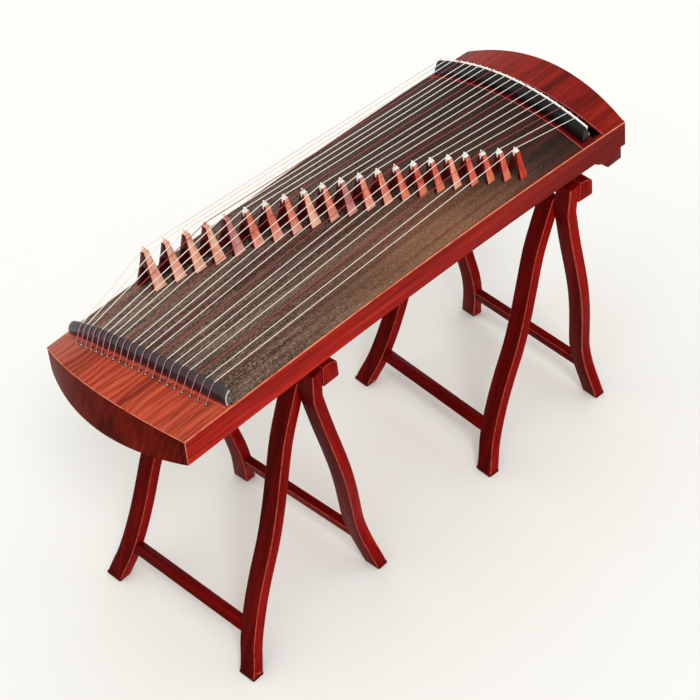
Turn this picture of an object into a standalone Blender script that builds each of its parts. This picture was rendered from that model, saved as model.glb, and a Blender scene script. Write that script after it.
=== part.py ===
"""Guzheng (21-string plucked zither) resting on two folding trestle stands.

X runs along the strings, with +X toward the head. The player sits on the -Y side. Z is up and
z = 0 is the floor.
"""
import math

import bmesh
import bpy
from mathutils import Matrix, Vector

# ---- overall size of the sound box -------------------------------------------------------
GAP = 0.0003                # clearance between pieces that touch
EDGE_Z = 0.725              # height of the long top edges above the floor
SIDE_H = 0.058              # height of the side boards
BASE_Z = EDGE_Z - SIDE_H    # underside of the box at its two ends
SIDE_RISE = 0.0150          # how far the long edges and the underside curve up in between
TAIL_X = -0.612             # tail corners
HEAD_X = 0.6405             # head corners
HALF_TAIL = 0.2078          # half width at the tail corners
HALF_HEAD = 0.2295          # half width at the head corners
CROWN_TAIL = 0.040          # rise of the arched top at the tail
CROWN_HEAD = 0.050          # rise of the arched top at the head
TAIL_BOW_TOP = 0.039        # how far the tail end bows out, at the top
TAIL_BOW_BASE = 0.049       # and at the underside
TAIL_TOE = 0.0035           # the tail corners lean out by this at the underside
HEAD_BOW = 0.024            # how far the head end bows out

SIDE_T = 0.009
TOP_T = 0.008
BACK_T = 0.006
END_T = 0.020
HEAD_T = 0.016
LIP_T = 0.003

# ---- stations along the top --------------------------------------------------------------
SOUND_END_X = 0.505         # head end of the soundboard
STRIP_X = 0.516             # front of the black nut
NUT_BACK_X = 0.5352
DECK_END_X = 0.545          # tailward edge of the string slot
LID_X = 0.572               # tailward edge of the pin box lid
SADDLE_X = 0.5330
SADDLE_T = 0.004
NUT_H = 0.0285
SADDLE_TOP = 0.034

# ---- strings and bridges -----------------------------------------------------------------
STRINGS = 21
STRING_R_LOW = 0.00095      # radius of the lowest, wound string
STRING_R_HIGH = 0.00070
SADDLE_FAR_Y = 0.205        # lowest string at the saddle
SADDLE_NEAR_Y = -0.184      # highest string at the saddle
BAR_FAR_Y = 0.1535
BAR_NEAR_Y = -0.177
EYELET_SET_BACK = 0.016
EYELET_R = 0.0016
BAR_HALF_LEN = 0.204        # the rear nut on the near side
BAR_FAR_LEN = 0.195         # and on the far side, where it also gets lower
BRIDGE_FIRST_X = -0.3700
BRIDGE_PITCH_LOW = 0.0420
BRIDGE_PITCH_HIGH = 0.0293
NECK_T = 0.0125             # thickness of a bridge under its tip

# ---- trestle stands ----------------------------------------------------------------------
TAIL_STAND_SPOT = (-0.2832, 0.0203)  # middle line of the top rail, seen from above
HEAD_STAND_SPOT = (0.4869, -0.0042)  # the rail stops just short of the bracket feet
TAIL_STAND_REACH = (0.2901, 0.0996)  # how far the two feet stand from the pivot, tailward and headward
HEAD_STAND_REACH = (0.2854, 0.0667)
TAIL_STAND_TURN = 1.03      # the stands are set down a little askew, in degrees about Z
HEAD_STAND_TURN = -4.76
PIVOT_Z = 0.598             # height of the fold pivots
LEG_T = 0.0275              # leg thickness in the folding plane
LEG_W = 0.045               # leg width along the rail
STRETCHER_Z = 0.085         # height of the low rails between the legs
RAIL_HALF = 0.052           # headward edge of the top rail from its middle line
RAIL_BASE_Z = 0.610
RAIL_LEN_HALF = 0.2287
SEAT_HALF = 0.174           # half length of the raised strip that the box rests on
SEAT_GAP = 0.0030
LEG_BEND_Z = 0.587          # the wide frame's legs turn nearly upright above this height
LEG_BEND = 0.268
PIN_R = 0.004
PIN_HEAD_R = 0.0075


# ---- helpers -----------------------------------------------------------------------------
def clear_scene():
    for obj in list(bpy.data.objects):
        bpy.data.objects.remove(obj, do_unlink=True)


def material(name, color, rough, metal=0.0, coat=0.0):
    mat = bpy.data.materials.new(name)
    mat.use_nodes = True
    bsdf = mat.node_tree.nodes["Principled BSDF"]
    bsdf.inputs["Base Color"].default_value = (color[0], color[1], color[2], 1.0)
    bsdf.inputs["Roughness"].default_value = rough
    bsdf.inputs["Metallic"].default_value = metal
    bsdf.inputs["Coat Weight"].default_value = coat
    return mat


def finish_mesh(name, verts, faces, mat, origin=(0.0, 0.0, 0.0), smooth=None):
    """Closed triangle mesh with its origin at the given world point."""
    bm = bmesh.new()
    base = Vector(origin)
    made = [bm.verts.new(Vector(v) - base) for v in verts]
    for face in faces:
        bm.faces.new([made[i] for i in face])
    bmesh.ops.recalc_face_normals(bm, faces=bm.faces)
    bmesh.ops.triangulate(bm, faces=bm.faces, quad_method="SHORT_EDGE", ngon_method="EAR_CLIP")
    mesh = bpy.data.meshes.new(name)
    bm.to_mesh(mesh)
    bm.free()
    obj = bpy.data.objects.new(name, mesh)
    obj.location = base
    bpy.context.scene.collection.objects.link(obj)
    own = mat.copy()
    own.name = "mat_" + name
    mesh.materials.append(own)
    if smooth is not None:
        for poly in mesh.polygons:
            poly.use_smooth = True
        mesh.set_sharp_from_angle(angle=math.radians(smooth))
    return obj


def loft(name, rings, mat, origin=(0.0, 0.0, 0.0), smooth=None):
    """Skin through equal rings of points, capped at both ends."""
    count = len(rings[0])
    verts = [p for ring in rings for p in ring]
    faces = []
    for r in range(len(rings) - 1):
        a = r * count
        b = a + count
        for i in range(count):
            j = (i + 1) % count
            faces.append((a + i, a + j, b + j, b + i))
    faces.append(tuple(range(count)))
    last = (len(rings) - 1) * count
    faces.append(tuple(range(last + count - 1, last - 1, -1)))
    return finish_mesh(name, verts, faces, mat, origin, smooth)


def boolean(obj, tool, operation):
    mod = obj.modifiers.new("cut", "BOOLEAN")
    mod.operation = operation
    mod.solver = "EXACT"
    mod.object = tool
    deps = bpy.context.evaluated_depsgraph_get()
    result = bpy.data.meshes.new_from_object(obj.evaluated_get(deps))
    obj.modifiers.clear()
    old = obj.data
    own = old.materials[0]
    obj.data = result
    result.name = old.name
    bpy.data.meshes.remove(old)
    result.materials.clear()
    result.materials.append(own)
    for poly in result.polygons:
        poly.material_index = 0
    bpy.data.objects.remove(tool, do_unlink=True)


def tube_rings(path, radius, sides):
    """Rings of a round bar along a path whose points do not double back."""
    rings = []
    for k, point in enumerate(path):
        here = Vector(point)
        came = here - Vector(path[k - 1]) if k > 0 else Vector(path[1]) - here
        goes = Vector(path[k + 1]) - here if k < len(path) - 1 else came
        along = (came.normalized() + goes.normalized()).normalized()
        side = along.cross(Vector((0.0, 1.0, 0.0)))
        if side.length < 0.2:
            side = along.cross(Vector((0.0, 0.0, 1.0)))
        side.normalize()
        up = side.cross(along)
        ring = []
        for s in range(sides):
            turn = 2.0 * math.pi * s / sides
            ring.append(here + radius * (math.cos(turn) * side + math.sin(turn) * up))
        rings.append(ring)
    return rings


def many_tubes(name, paths, radii, sides, mat):
    verts = []
    faces = []
    for path, radius in zip(paths, radii):
        rings = tube_rings(path, radius, sides)
        start = len(verts)
        for ring in rings:
            verts.extend(ring)
        for r in range(len(rings) - 1):
            a = start + r * sides
            for i in range(sides):
                j = (i + 1) % sides
                faces.append((a + i, a + j, a + sides + j, a + sides + i))
        faces.append(tuple(start + i for i in range(sides)))
        last = start + (len(rings) - 1) * sides
        faces.append(tuple(last + i for i in reversed(range(sides))))
    return finish_mesh(name, verts, faces, mat)


def cylinders(name, spots, axis, radius, start, end, sides, mat):
    """Parallel round bars through the given (a, b) spots, along Y or Z."""
    verts = []
    faces = []
    for a, b in spots:
        base = len(verts)
        for level in (start, end):
            for s in range(sides):
                turn = 2.0 * math.pi * (s + 0.5) / sides
                da = radius * math.cos(turn)
                db = radius * math.sin(turn)
                if axis == "Z":
                    verts.append((a + da, b + db, level))
                else:
                    verts.append((a + da, level, b + db))
        for s in range(sides):
            t = (s + 1) % sides
            faces.append((base + s, base + t, base + sides + t, base + sides + s))
        faces.append(tuple(base + s for s in range(sides)))
        faces.append(tuple(base + sides + s for s in reversed(range(sides))))
    return finish_mesh(name, verts, faces, mat)


def interp(table, x):
    """Piecewise straight line through (x, value) pairs."""
    if x <= table[0][0]:
        return table[0][1]
    for (x0, v0), (x1, v1) in zip(table, table[1:]):
        if x <= x1:
            return v0 + (v1 - v0) * (x - x0) / (x1 - x0)
    return table[-1][1]


def smooth_interp(table, x):
    """Smooth curve through (x, value) pairs that are not evenly spaced."""
    if x <= table[0][0]:
        return table[0][1]
    if x >= table[-1][0]:
        return table[-1][1]

    def slope(k):
        a = table[max(k - 1, 0)]
        b = table[min(k + 1, len(table) - 1)]
        return (b[1] - a[1]) / (b[0] - a[0])

    k = max(j for j in range(len(table) - 1) if table[j][0] <= x)
    x0, v0 = table[k]
    x1, v1 = table[k + 1]
    span = x1 - x0
    t = (x - x0) / span
    rise0 = slope(k) * span
    rise1 = slope(k + 1) * span
    return ((2 * t ** 3 - 3 * t ** 2 + 1) * v0 + (t ** 3 - 2 * t ** 2 + t) * rise0
            + (3 * t ** 2 - 2 * t ** 3) * v1 + (t ** 3 - t ** 2) * rise1)


# ---- shape of the arched top -------------------------------------------------------------
def along_share(x):
    return (x - TAIL_X) / (HEAD_X - TAIL_X)


def half_width(x):
    return HALF_TAIL + (HALF_HEAD - HALF_TAIL) * along_share(x)


def inner_half(x):
    return half_width(x) - SIDE_T - GAP


def rise(x):
    """Lift of the long edges and the underside, most of it just headward of the middle."""
    t = 2.0 * along_share(x) - 1.0
    return SIDE_RISE * max(0.0, 1.0 - t * t) * (1.0 + 0.2 * t)


def base_z(x):
    return BASE_Z + rise(x)


def top_z(x, y):
    crown = CROWN_TAIL + (CROWN_HEAD - CROWN_TAIL) * along_share(x)
    return EDGE_Z + crown - (crown - rise(x)) * (y / half_width(x)) ** 2


def tail_x(y, at_top):
    """Tail end face: at_top is 1 at the arris of the plate and 0 at the underside."""
    bow = TAIL_BOW_BASE + (TAIL_BOW_TOP - TAIL_BOW_BASE) * at_top
    corner = TAIL_X - TAIL_TOE * (1.0 - at_top)
    return corner - bow * (1.0 - (y / HALF_TAIL) ** 2)


def head_x(y):
    return HEAD_X + HEAD_BOW * (1.0 - (y / HALF_HEAD) ** 2)


def bar_x(y):
    """Tailward foot of the curved rear nut: square on the far side, swept headward near."""
    sweep = max(0.0, (0.12 - y) / 0.325)
    return -0.5605 + 0.060 * sweep ** 1.8


def seam_x(y):
    return bar_x(y) + 0.011


def across(name, profile, mat, steps=24, smooth=None):
    """Loft from the near side to the far side; profile(v) gives the ring at v = -1 .. 1."""
    rings = [profile(-1.0 + 2.0 * k / steps) for k in range(steps + 1)]
    return loft(name, rings, mat, smooth=smooth)


def sheet_ring(v, x0, x1, top, thick, parts=1):
    """Ring of a plate under the arched top, from x0 to x1, its face lifted by top."""
    upper = []
    lower = []
    for k in range(parts + 1):
        x = x0 + (x1 - x0) * k / parts
        y = v * inner_half(x)
        z = top_z(x, y) + top
        upper.append((x, y, z))
        lower.append((x, y, z - thick))
    return lower + upper[::-1]


# ---- sound box ---------------------------------------------------------------------------
def make_box(mats):
    def soundboard(v):
        y = v * inner_half(-0.53)
        return sheet_ring(v, seam_x(y) + 0.0005, SOUND_END_X, 0.0, TOP_T, 12)

    across("soundboard", soundboard, mats["paulownia"], smooth=30)

    def tail_plate(v):
        y_seam = v * inner_half(-0.53)
        y_end = v * inner_half(-0.62)
        return sheet_ring(v, tail_x(y_end, 1.0) + LIP_T + GAP, seam_x(y_seam) - 0.0005, 0.0, TOP_T)

    plate = across("tail_plate", tail_plate, mats["rosewood"], smooth=30)
    holes = cylinders("holes", [(p[0], p[1]) for p in eyelets()], "Z", EYELET_R, 0.70, 0.80, 8,
                      mats["rosewood"])
    boolean(plate, holes, "DIFFERENCE")

    def tail_board(v):
        y = v * inner_half(-0.62)
        low = tail_x(y, 0.0)
        high = tail_x(y, 1.0)
        arris = top_z(high, y)
        seat = arris - TOP_T - GAP
        return [(low, y, BASE_Z), (low + END_T, y, BASE_Z), (high + END_T, y, seat),
                (high + LIP_T, y, seat), (high + LIP_T, y, arris), (high, y, arris)]

    across("tail_board", tail_board, mats["lacquer"], smooth=30)

    def head_board(v):
        y = v * inner_half(0.62)
        x = head_x(y)
        arris = top_z(x, y)
        seat = arris - TOP_T - GAP
        return [(x, y, BASE_Z), (x, y, arris), (x - LIP_T, y, arris), (x - LIP_T, y, seat),
                (x - HEAD_T, y, seat), (x - HEAD_T, y, BASE_Z)]

    across("head_board", head_board, mats["lacquer"], smooth=30)

    def lid(v):
        y_end = v * inner_half(0.65)
        return sheet_ring(v, LID_X, head_x(y_end) - LIP_T - GAP, 0.0, TOP_T)

    across("box_lid", lid, mats["rosewood"], smooth=30)

    for name, sign in (("near_side", -1.0), ("far_side", 1.0)):
        rings = []
        for k in range(17):
            u = k / 16.0
            ring = []
            for depth, at_top in ((0.0, 0.0), (SIDE_T, 0.0), (SIDE_T, 1.0), (0.0, 1.0)):
                x_tail = tail_x(HALF_TAIL - depth, at_top)
                x_head = head_x(HALF_HEAD - depth)
                x = x_tail + (x_head - x_tail) * u
                y = half_width(x) - depth
                z = top_z(x, y) if at_top else base_z(x)
                ring.append((x, sign * y, z))
            rings.append(ring)
        loft(name, rings, mats["lacquer"])

    def back(v):
        y0 = v * inner_half(-0.60)
        x0 = tail_x(y0, 0.0) + END_T + 0.0020
        y1 = v * inner_half(0.63)
        x1 = head_x(y1) - HEAD_T - GAP
        lower = []
        upper = []
        for k in range(15):
            x = x0 + (x1 - x0) * k / 14.0
            lower.append((x, v * inner_half(x), base_z(x)))
            upper.append((x, v * inner_half(x), base_z(x) + BACK_T))
        return lower + upper[::-1]

    board = across("back_board", back, mats["back"])
    for x, length, width in ((-0.42, 0.09, 0.05), (0.12, 0.12, 0.06)):
        ring = []
        for k in range(24):
            turn = 2.0 * math.pi * k / 24
            ring.append((x + 0.5 * length * math.cos(turn), 0.5 * width * math.sin(turn)))
        low = [(p[0], p[1], BASE_Z - 0.01) for p in ring]
        high = [(p[0], p[1], BASE_Z + 0.04) for p in ring]
        boolean(board, loft("hole", [low, high], mats["back"]), "DIFFERENCE")

    for name, x in (("brace_tail", -0.340), ("brace_middle", 0.030), ("brace_head", 0.400)):
        def brace(v, x=x):
            ring = []
            for dx in (0.0, 0.014):
                y = v * (inner_half(x) - 0.0004)
                high = top_z(x + dx, y) - TOP_T - 2.0 * GAP
                low = base_z(x + dx) + BACK_T + 2.0 * GAP + 0.050 * (1.0 - v ** 4)
                ring.append(((x + dx, y, low), (x + dx, y, high)))
            return [ring[0][0], ring[1][0], ring[1][1], ring[0][1]]

        across(name, brace, mats["back"])

    def bulkhead(v):
        x0 = DECK_END_X - 0.012
        x1 = DECK_END_X
        y = v * (inner_half(x0) - 0.0002)
        low = BACK_T + 2.0 * GAP
        return [(x0, y, base_z(x0) + low), (x1, y, base_z(x1) + low),
                (x1, y, top_z(x1, y) - TOP_T - 2.0 * GAP),
                (x0, y, top_z(x0, y) - TOP_T - 2.0 * GAP)]

    across("box_bulkhead", bulkhead, mats["back"])


def bar_low(y):
    """How far the rear nut's height is cut down toward its far end."""
    return 1.0 - 0.30 * max(0.0, (y - 0.09) / 0.105) ** 1.2


def make_nuts(mats):
    def deck(v):
        return sheet_ring(v, SOUND_END_X + GAP, DECK_END_X, 0.0, TOP_T)

    across("nut_deck", deck, mats["rosewood"], smooth=30)

    nut_profile = ((STRIP_X, GAP), (0.5165, 0.0060), (0.5190, 0.0150), (0.5240, 0.0235),
                   (0.5290, NUT_H), (NUT_BACK_X, NUT_H), (NUT_BACK_X, GAP))

    def nut(v):
        y = v * 0.214
        return [(x, y, top_z(x, y) + h) for x, h in nut_profile]

    across("front_nut", nut, mats["ebony"], smooth=40)

    def saddle(v):
        y = v * 0.2135
        x0 = SADDLE_X - 0.5 * SADDLE_T
        x1 = SADDLE_X + 0.5 * SADDLE_T
        low = NUT_H + GAP
        return [(x0, y, top_z(x0, y) + low), (x0, y, top_z(x0, y) + SADDLE_TOP - 0.0012),
                (SADDLE_X, y, top_z(SADDLE_X, y) + SADDLE_TOP - 0.0003),
                (x1, y, top_z(x1, y) + SADDLE_TOP), (x1, y, top_z(x1, y) + low)]

    across("bone_saddle", saddle, mats["bone"])

    bar_profile = ((0.0, GAP), (-0.002, 0.008), (-0.002, 0.017), (0.0005, 0.026), (0.005, 0.032),
                   (0.0105, 0.0355), (0.015, 0.034), (0.0185, 0.027), (0.021, 0.015), (0.0225, GAP))

    def bar(v):
        y = v * (BAR_HALF_LEN if v < 0.0 else BAR_FAR_LEN)
        x0 = bar_x(y)
        return [(x0 + dx, y, top_z(x0 + dx, y) + max(GAP, h * bar_low(y))) for dx, h in bar_profile]

    across("rear_nut", bar, mats["ebony"], smooth=50)


def make_pin_block(mats):
    """Plank inside the head box that holds the tuning pins, with a cheek at each end."""
    x0 = 0.556
    x1 = 0.612
    top = 0.700
    rings = []
    for y_in in (-1.0, -0.94, -0.9399, 0.9399, 0.94, 1.0):
        ring = []
        for x, upper in ((x0, 0), (x1, 0), (x1, 1), (x0, 1)):
            y = y_in * inner_half(x)
            z = base_z(x) + BACK_T + 2.0 * GAP
            if upper:
                cheek = top_z(x, inner_half(x)) - TOP_T - 2.0 * GAP
                z = cheek if abs(y_in) >= 0.94 else top
            ring.append((x, y, z))
        rings.append(ring)
    block = loft("pin_block", rings, mats["back"])
    spots = [pin_spot(i) for i in range(STRINGS)]
    pins = cylinders("pins", spots, "Z", 0.003, top - 0.006, 0.722, 10, mats["steel"])
    boolean(block, pins, "UNION")


def make_feet(mats):
    """Bracket feet under the head corners, with an ogee toward the tail."""
    profile = ((0.632, BASE_Z - GAP), (0.632, 0.633), (0.588, 0.633), (0.582, 0.6385),
               (0.5785, 0.6465), (0.574, 0.6515), (0.566, 0.6545), (0.557, 0.6585),
               (0.549, 0.6640), (0.543, base_z(0.543) - GAP), (0.586, base_z(0.586) - GAP),
               (0.6245, BASE_Z - GAP))
    for name, sign in (("near_foot", -1.0), ("far_foot", 1.0)):
        rings = []
        for y in (0.2245, 0.172):
            rings.append([(x, sign * y, z) for x, z in profile])
        loft(name, rings, mats["lacquer"])


# ---- strings, eyelets and bridges --------------------------------------------------------
def share(i):
    return i / (STRINGS - 1.0)


def bar_y(i):
    return BAR_FAR_Y + (BAR_NEAR_Y - BAR_FAR_Y) * share(i)


def saddle_y(i):
    return SADDLE_FAR_Y + (SADDLE_NEAR_Y - SADDLE_FAR_Y) * share(i)


def eyelets():
    spots = []
    for i in range(STRINGS):
        y = bar_y(i) * 0.985
        x = bar_x(y) - EYELET_SET_BACK
        spots.append((x, y, top_z(x, y)))
    return spots


def pin_spot(i):
    row = LID_X + 0.008 + 0.013 * (i % 2)
    return (row, saddle_y(i) * 0.955)


def string_y(i, x):
    x0 = bar_x(bar_y(i)) + 0.010
    return bar_y(i) + (saddle_y(i) - bar_y(i)) * (x - x0) / (SADDLE_X - x0)


def bridge_spot(i):
    slope = (BRIDGE_PITCH_HIGH - BRIDGE_PITCH_LOW) / (STRINGS - 2.0)
    x = BRIDGE_FIRST_X + BRIDGE_PITCH_LOW * i + 0.5 * slope * i * (i - 1)
    return (x, string_y(i, x))


def bridge_height(i):
    return 0.0637 + 0.0308 * (1.0 - share(i)) ** 1.1


def string_r(i):
    return STRING_R_LOW + (STRING_R_HIGH - STRING_R_LOW) * share(i)


def make_strings(mats):
    paths = []
    anchor = []
    for i, (ex, ey, ez) in enumerate(eyelets()):
        deep = (ex, ey, ez - TOP_T - 0.004)
        anchor.append(deep)
        path = [deep, (ex, ey, ez + 0.0012)]
        y = bar_y(i)
        x0 = bar_x(y)
        for dx, h in ((-0.0012, 0.0272), (0.0037, 0.0338), (0.0102, 0.0373)):
            path.append((x0 + dx, y, top_z(x0 + dx, y) + h * bar_low(y)))
        bx, by = bridge_spot(i)
        path.append((bx, by, top_z(bx, by) + bridge_height(i) + GAP + string_r(i)))
        sy = saddle_y(i)
        for dx, lift in ((0.0008, GAP), (0.0032, -0.0004)):
            x = SADDLE_X + dx
            path.append((x, sy, top_z(x, sy) + SADDLE_TOP + string_r(i) + lift))
        px, py = pin_spot(i)
        path.append((px - 0.0042, py, 0.704))
        paths.append(path)
    strings = many_tubes("strings", paths, [string_r(i) for i in range(STRINGS)], 6, mats["string"])
    first = anchor[0]
    last = anchor[-1]
    anchor.insert(0, (first[0], first[1] + 0.006, first[2] - 0.001))
    anchor.append((last[0], last[1] - 0.006, last[2] - 0.001))
    rod = many_tubes("rod", [anchor], [0.0018], 8, mats["string"])
    boolean(strings, rod, "UNION")


def make_bridge(i, mats):
    """One movable bridge: an arch with two splayed legs and a notched crown."""
    bx, by = bridge_spot(i)
    h = bridge_height(i)
    low_share = 1.0 - share(i)
    half = 0.020 + 0.012 * low_share
    foot = 0.45 * half
    thick = 0.0210 + 0.0105 * low_share
    crest = top_z(bx, by)
    neck = h - 0.006

    def depth(z):
        return 0.5 * (thick + (NECK_T - thick) * min(max(z / neck, 0.0), 1.0))

    arch_top = 0.56 * h
    inner = half - foot
    outline = [(-half, None), (-inner, None)]
    for k in range(1, 6):
        turn = math.pi * k / 6.0
        outline.append((-inner * math.cos(turn), arch_top * math.sin(turn) ** 0.8))
    outline += [(inner, None), (half, None), (0.0055, neck), (-0.0055, neck)]
    crown = [(0.0040, h + 0.0022), (0.0, h - 0.0007), (-0.0040, h + 0.0022)]
    verts = []
    for side in (1.0, -1.0):
        for dy, z in outline:
            if z is None:
                x = bx + side * depth(0.0)
                verts.append((x, by + dy, top_z(x, by + dy) + GAP))
            else:
                verts.append((bx + side * depth(z), by + dy, crest + z))
        for dy, z in crown:
            verts.append((bx + side * 0.0012, by + dy, crest + z))
    n = len(outline)
    m = n + len(crown)
    faces = [tuple(range(n)), tuple(range(m + n - 1, m - 1, -1))]
    for base in (0, m):
        right = base + n - 2
        left = base + n - 1
        tip = base + n
        faces += [(right, tip, tip + 1), (right, tip + 1, left), (left, tip + 1, tip + 2)]
    loop = list(range(n - 1)) + [n, n + 1, n + 2, n - 1]
    for a, b in zip(loop, loop[1:] + loop[:1]):
        faces.append((a, b, b + m, a + m))
    finish_mesh("bridge_%02d" % (i + 1), verts, faces, mats["bridge"], origin=(bx, by, crest))


# ---- trestle stands ----------------------------------------------------------------------
# outer face of the legs of the narrow frame and of the wide frame, by height
INNER_LEG_Y = ((0.0, 0.2400), (0.030, 0.2310), (0.060, 0.2215), (0.100, 0.2145), (0.150, 0.2092),
               (0.210, 0.2070), (0.280, 0.2070), (0.350, 0.2007), (0.420, 0.1909), (0.480, 0.1826),
               (0.540, 0.1812), (0.700, 0.1812))
OUTER_LEG_Y = ((0.0, 0.2350), (0.030, 0.2282), (0.060, 0.2200), (0.100, 0.2118), (0.150, 0.2095),
               (0.210, 0.2180), (0.280, 0.2280), (0.350, 0.2335), (0.420, 0.2322), (0.480, 0.2288),
               (0.540, 0.2275), (0.600, 0.2277), (0.700, 0.2280))
# top of the rail at its ends, by distance headward of the rail's middle line
RAIL_TOP = ((-0.036, 0.6440), (-0.024, 0.6482), (-0.0155, 0.6510), (-0.004, 0.6543), (0.008, 0.6563),
            (0.0189, 0.6569), (0.031, 0.6561), (0.042, 0.6533), (0.052, 0.6475))


def section(half_t, y_in, y_out, bevel):
    """Bevelled rectangle as (thickness offset, y) pairs."""
    return ((-half_t + bevel, y_out), (half_t - bevel, y_out), (half_t, y_out - bevel),
            (half_t, y_in + bevel), (half_t - bevel, y_in), (-half_t + bevel, y_in),
            (-half_t, y_in + bevel), (-half_t, y_out - bevel))


def leg_rings(foot_x, top_point, outer_y, stops, sign, rounded, rail_x):
    """Rings up a leg from the floor; the foot is cut flat and the top rounded or cut to the rail."""
    axis = Vector((top_point[0] - foot_x, 0.0, top_point[1])).normalized()
    normal = Vector((axis.z, 0.0, -axis.x))
    half_t = 0.5 * LEG_T
    rings = []
    for z in stops:
        centre = Vector((foot_x, 0.0, 0.0)) + axis * (z / axis.z)
        out = smooth_interp(outer_y, z)
        ring = []
        for t, y in section(half_t, out - LEG_W, out, 0.0025):
            point = centre + normal * t
            if z == 0.0:
                point = point - axis * (point.z / axis.z)
            ring.append(Vector((point.x, sign * y, point.z)))
        rings.append(ring)
    out = smooth_interp(outer_y, top_point[1])
    if rounded:
        for turn in (0.0, 25.0, 48.0, 68.0):
            further = half_t * math.sin(math.radians(turn))
            slim = half_t * math.cos(math.radians(turn))
            centre = Vector((top_point[0], 0.0, top_point[1])) + axis * further
            ring = []
            for t, y in section(slim, out - LEG_W, out, min(0.0025, 0.6 * slim)):
                point = centre + normal * t
                ring.append(Vector((point.x, sign * y, point.z)))
            rings.append(ring)
    else:
        ring = []
        for t, y in section(half_t, out - LEG_W, out, 0.0025):
            point = Vector((foot_x, 0.0, 0.0)) + normal * t
            x = point.x
            for _ in range(6):
                goal = interp(RAIL_TOP, x - rail_x)
                x = point.x + axis.x / axis.z * (goal - point.z) + LEG_BEND * (goal - LEG_BEND_Z)
            ring.append(Vector((x, sign * y, goal)))
        rings.append(ring)
    return rings


def make_stretcher(name, foot_x, top_point, outer_y, mats, origin):
    """Low rail between the two legs of one frame, with its ends cut to the legs' inner faces."""
    axis = Vector((top_point[0] - foot_x, 0.0, top_point[1])).normalized()
    normal = Vector((axis.z, 0.0, -axis.x))
    centre = Vector((foot_x, 0.0, 0.0)) + axis * (STRETCHER_Z / axis.z)
    rings = []
    for sign in (-1.0, 1.0):
        ring = []
        for t, s in section(0.0105, -0.0135, 0.0135, 0.002):
            point = centre + normal * t + axis * s
            reach = 0.5 * LEG_T * abs(axis.x)
            y = min(smooth_interp(outer_y, point.z + k * reach) for k in (-1.0, 0.0, 1.0))
            y = y - LEG_W - 0.0004
            ring.append(Vector((point.x, sign * y, point.z)))
        rings.append(ring)
    loft(name, rings, mats["stand"], origin)


def make_stand(prefix, spot, reach, askew, mats):
    """Builds the stand square to the strings, then turns it about the middle of its top rail."""
    rail_x = spot[0]
    pivot = (rail_x - 0.010, PIVOT_Z)
    inner_foot = pivot[0] - reach[0]
    outer_foot = pivot[0] + reach[1]
    outer_top = (outer_foot + (pivot[0] - outer_foot) * 0.66 / PIVOT_Z, 0.66)
    origin = (pivot[0], 0.0, pivot[1])
    low_stops = [0.0, 0.011, 0.022, 0.036, 0.050, 0.068]
    inner_stops = low_stops + [0.090 + 0.030 * k for k in range(16)] + [PIVOT_Z - 0.030]
    outer_stops = low_stops + [0.090 + 0.030 * k for k in range(17)] + [LEG_BEND_Z]

    for side, sign in (("near", -1.0), ("far", 1.0)):
        inner = loft(prefix + "_inner_leg_" + side,
                     leg_rings(inner_foot, pivot, INNER_LEG_Y, inner_stops, sign, True, rail_x),
                     mats["stand"], origin)
        outer = loft(prefix + "_outer_leg_" + side,
                     leg_rings(outer_foot, outer_top, OUTER_LEG_Y, outer_stops, sign, False, rail_x),
                     mats["stand"], origin)
        blind = smooth_interp(OUTER_LEG_Y, PIVOT_Z) - 0.006
        head_y = smooth_interp(INNER_LEG_Y, PIVOT_Z) - LEG_W - 0.0007
        for leg in (inner, outer):
            bore = cylinders("bore", [pivot], "Y", PIN_R + 0.0003, sign * 0.12,
                             sign * (blind + 0.0006), 16, mats["steel"])
            boolean(leg, bore, "DIFFERENCE")
        rings = []
        for y, radius in ((head_y - 0.004, PIN_HEAD_R), (head_y, PIN_HEAD_R), (head_y, PIN_R),
                          (blind, PIN_R)):
            ring = []
            for k in range(16):
                turn = 2.0 * math.pi * (k + 0.5) / 16
                ring.append((pivot[0] + radius * math.cos(turn), sign * y,
                             pivot[1] + radius * math.sin(turn)))
            rings.append(ring)
        loft(prefix + "_pivot_pin_" + side, rings, mats["steel"], origin, smooth=40)

    make_stretcher(prefix + "_inner_stretcher", inner_foot, pivot, INNER_LEG_Y, mats, origin)
    make_stretcher(prefix + "_outer_stretcher", outer_foot, outer_top, OUTER_LEG_Y, mats, origin)

    lean = (pivot[0] - outer_foot) / PIVOT_Z
    face = 0.5 * LEG_T * math.sqrt(1.0 + lean * lean) + 0.0004

    def leg_face(z):
        return outer_foot + lean * z + face + LEG_BEND * max(0.0, z - LEG_BEND_Z)

    top_left = leg_face(0.6567)
    ends = [(leg_face(RAIL_BASE_Z), RAIL_BASE_Z), (top_left, interp(RAIL_TOP, top_left - rail_x))]
    ends += [(rail_x + dx, z) for dx, z in RAIL_TOP if rail_x + dx > top_left + 0.002]
    ends += [(rail_x + RAIL_HALF, RAIL_BASE_Z + 0.002), (rail_x + RAIL_HALF - 0.002, RAIL_BASE_Z)]
    turn = math.radians(askew)

    def seat_z(x, y):
        return base_z(rail_x + (x - rail_x) * math.cos(turn) - y * math.sin(turn)) - SEAT_GAP

    rings = []
    for y, raised in ((-RAIL_LEN_HALF, False), (-SEAT_HALF - 0.005, False), (-SEAT_HALF, True),
                      (SEAT_HALF, True), (SEAT_HALF + 0.005, False), (RAIL_LEN_HALF, False)):
        rings.append([(x, y, seat_z(x, y) if raised and z > 0.6555 else z) for x, z in ends])
    loft(prefix + "_top_rail", rings, mats["stand"], origin)

    turned = Matrix.Rotation(turn, 4, "Z")
    middle = Vector((rail_x, 0.0, 0.0))
    for obj in bpy.data.objects:
        if obj.name.startswith(prefix):
            obj.data.transform(turned)
            obj.location = turned @ (obj.location - middle) + middle + Vector((0.0, spot[1], 0.0))


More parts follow.
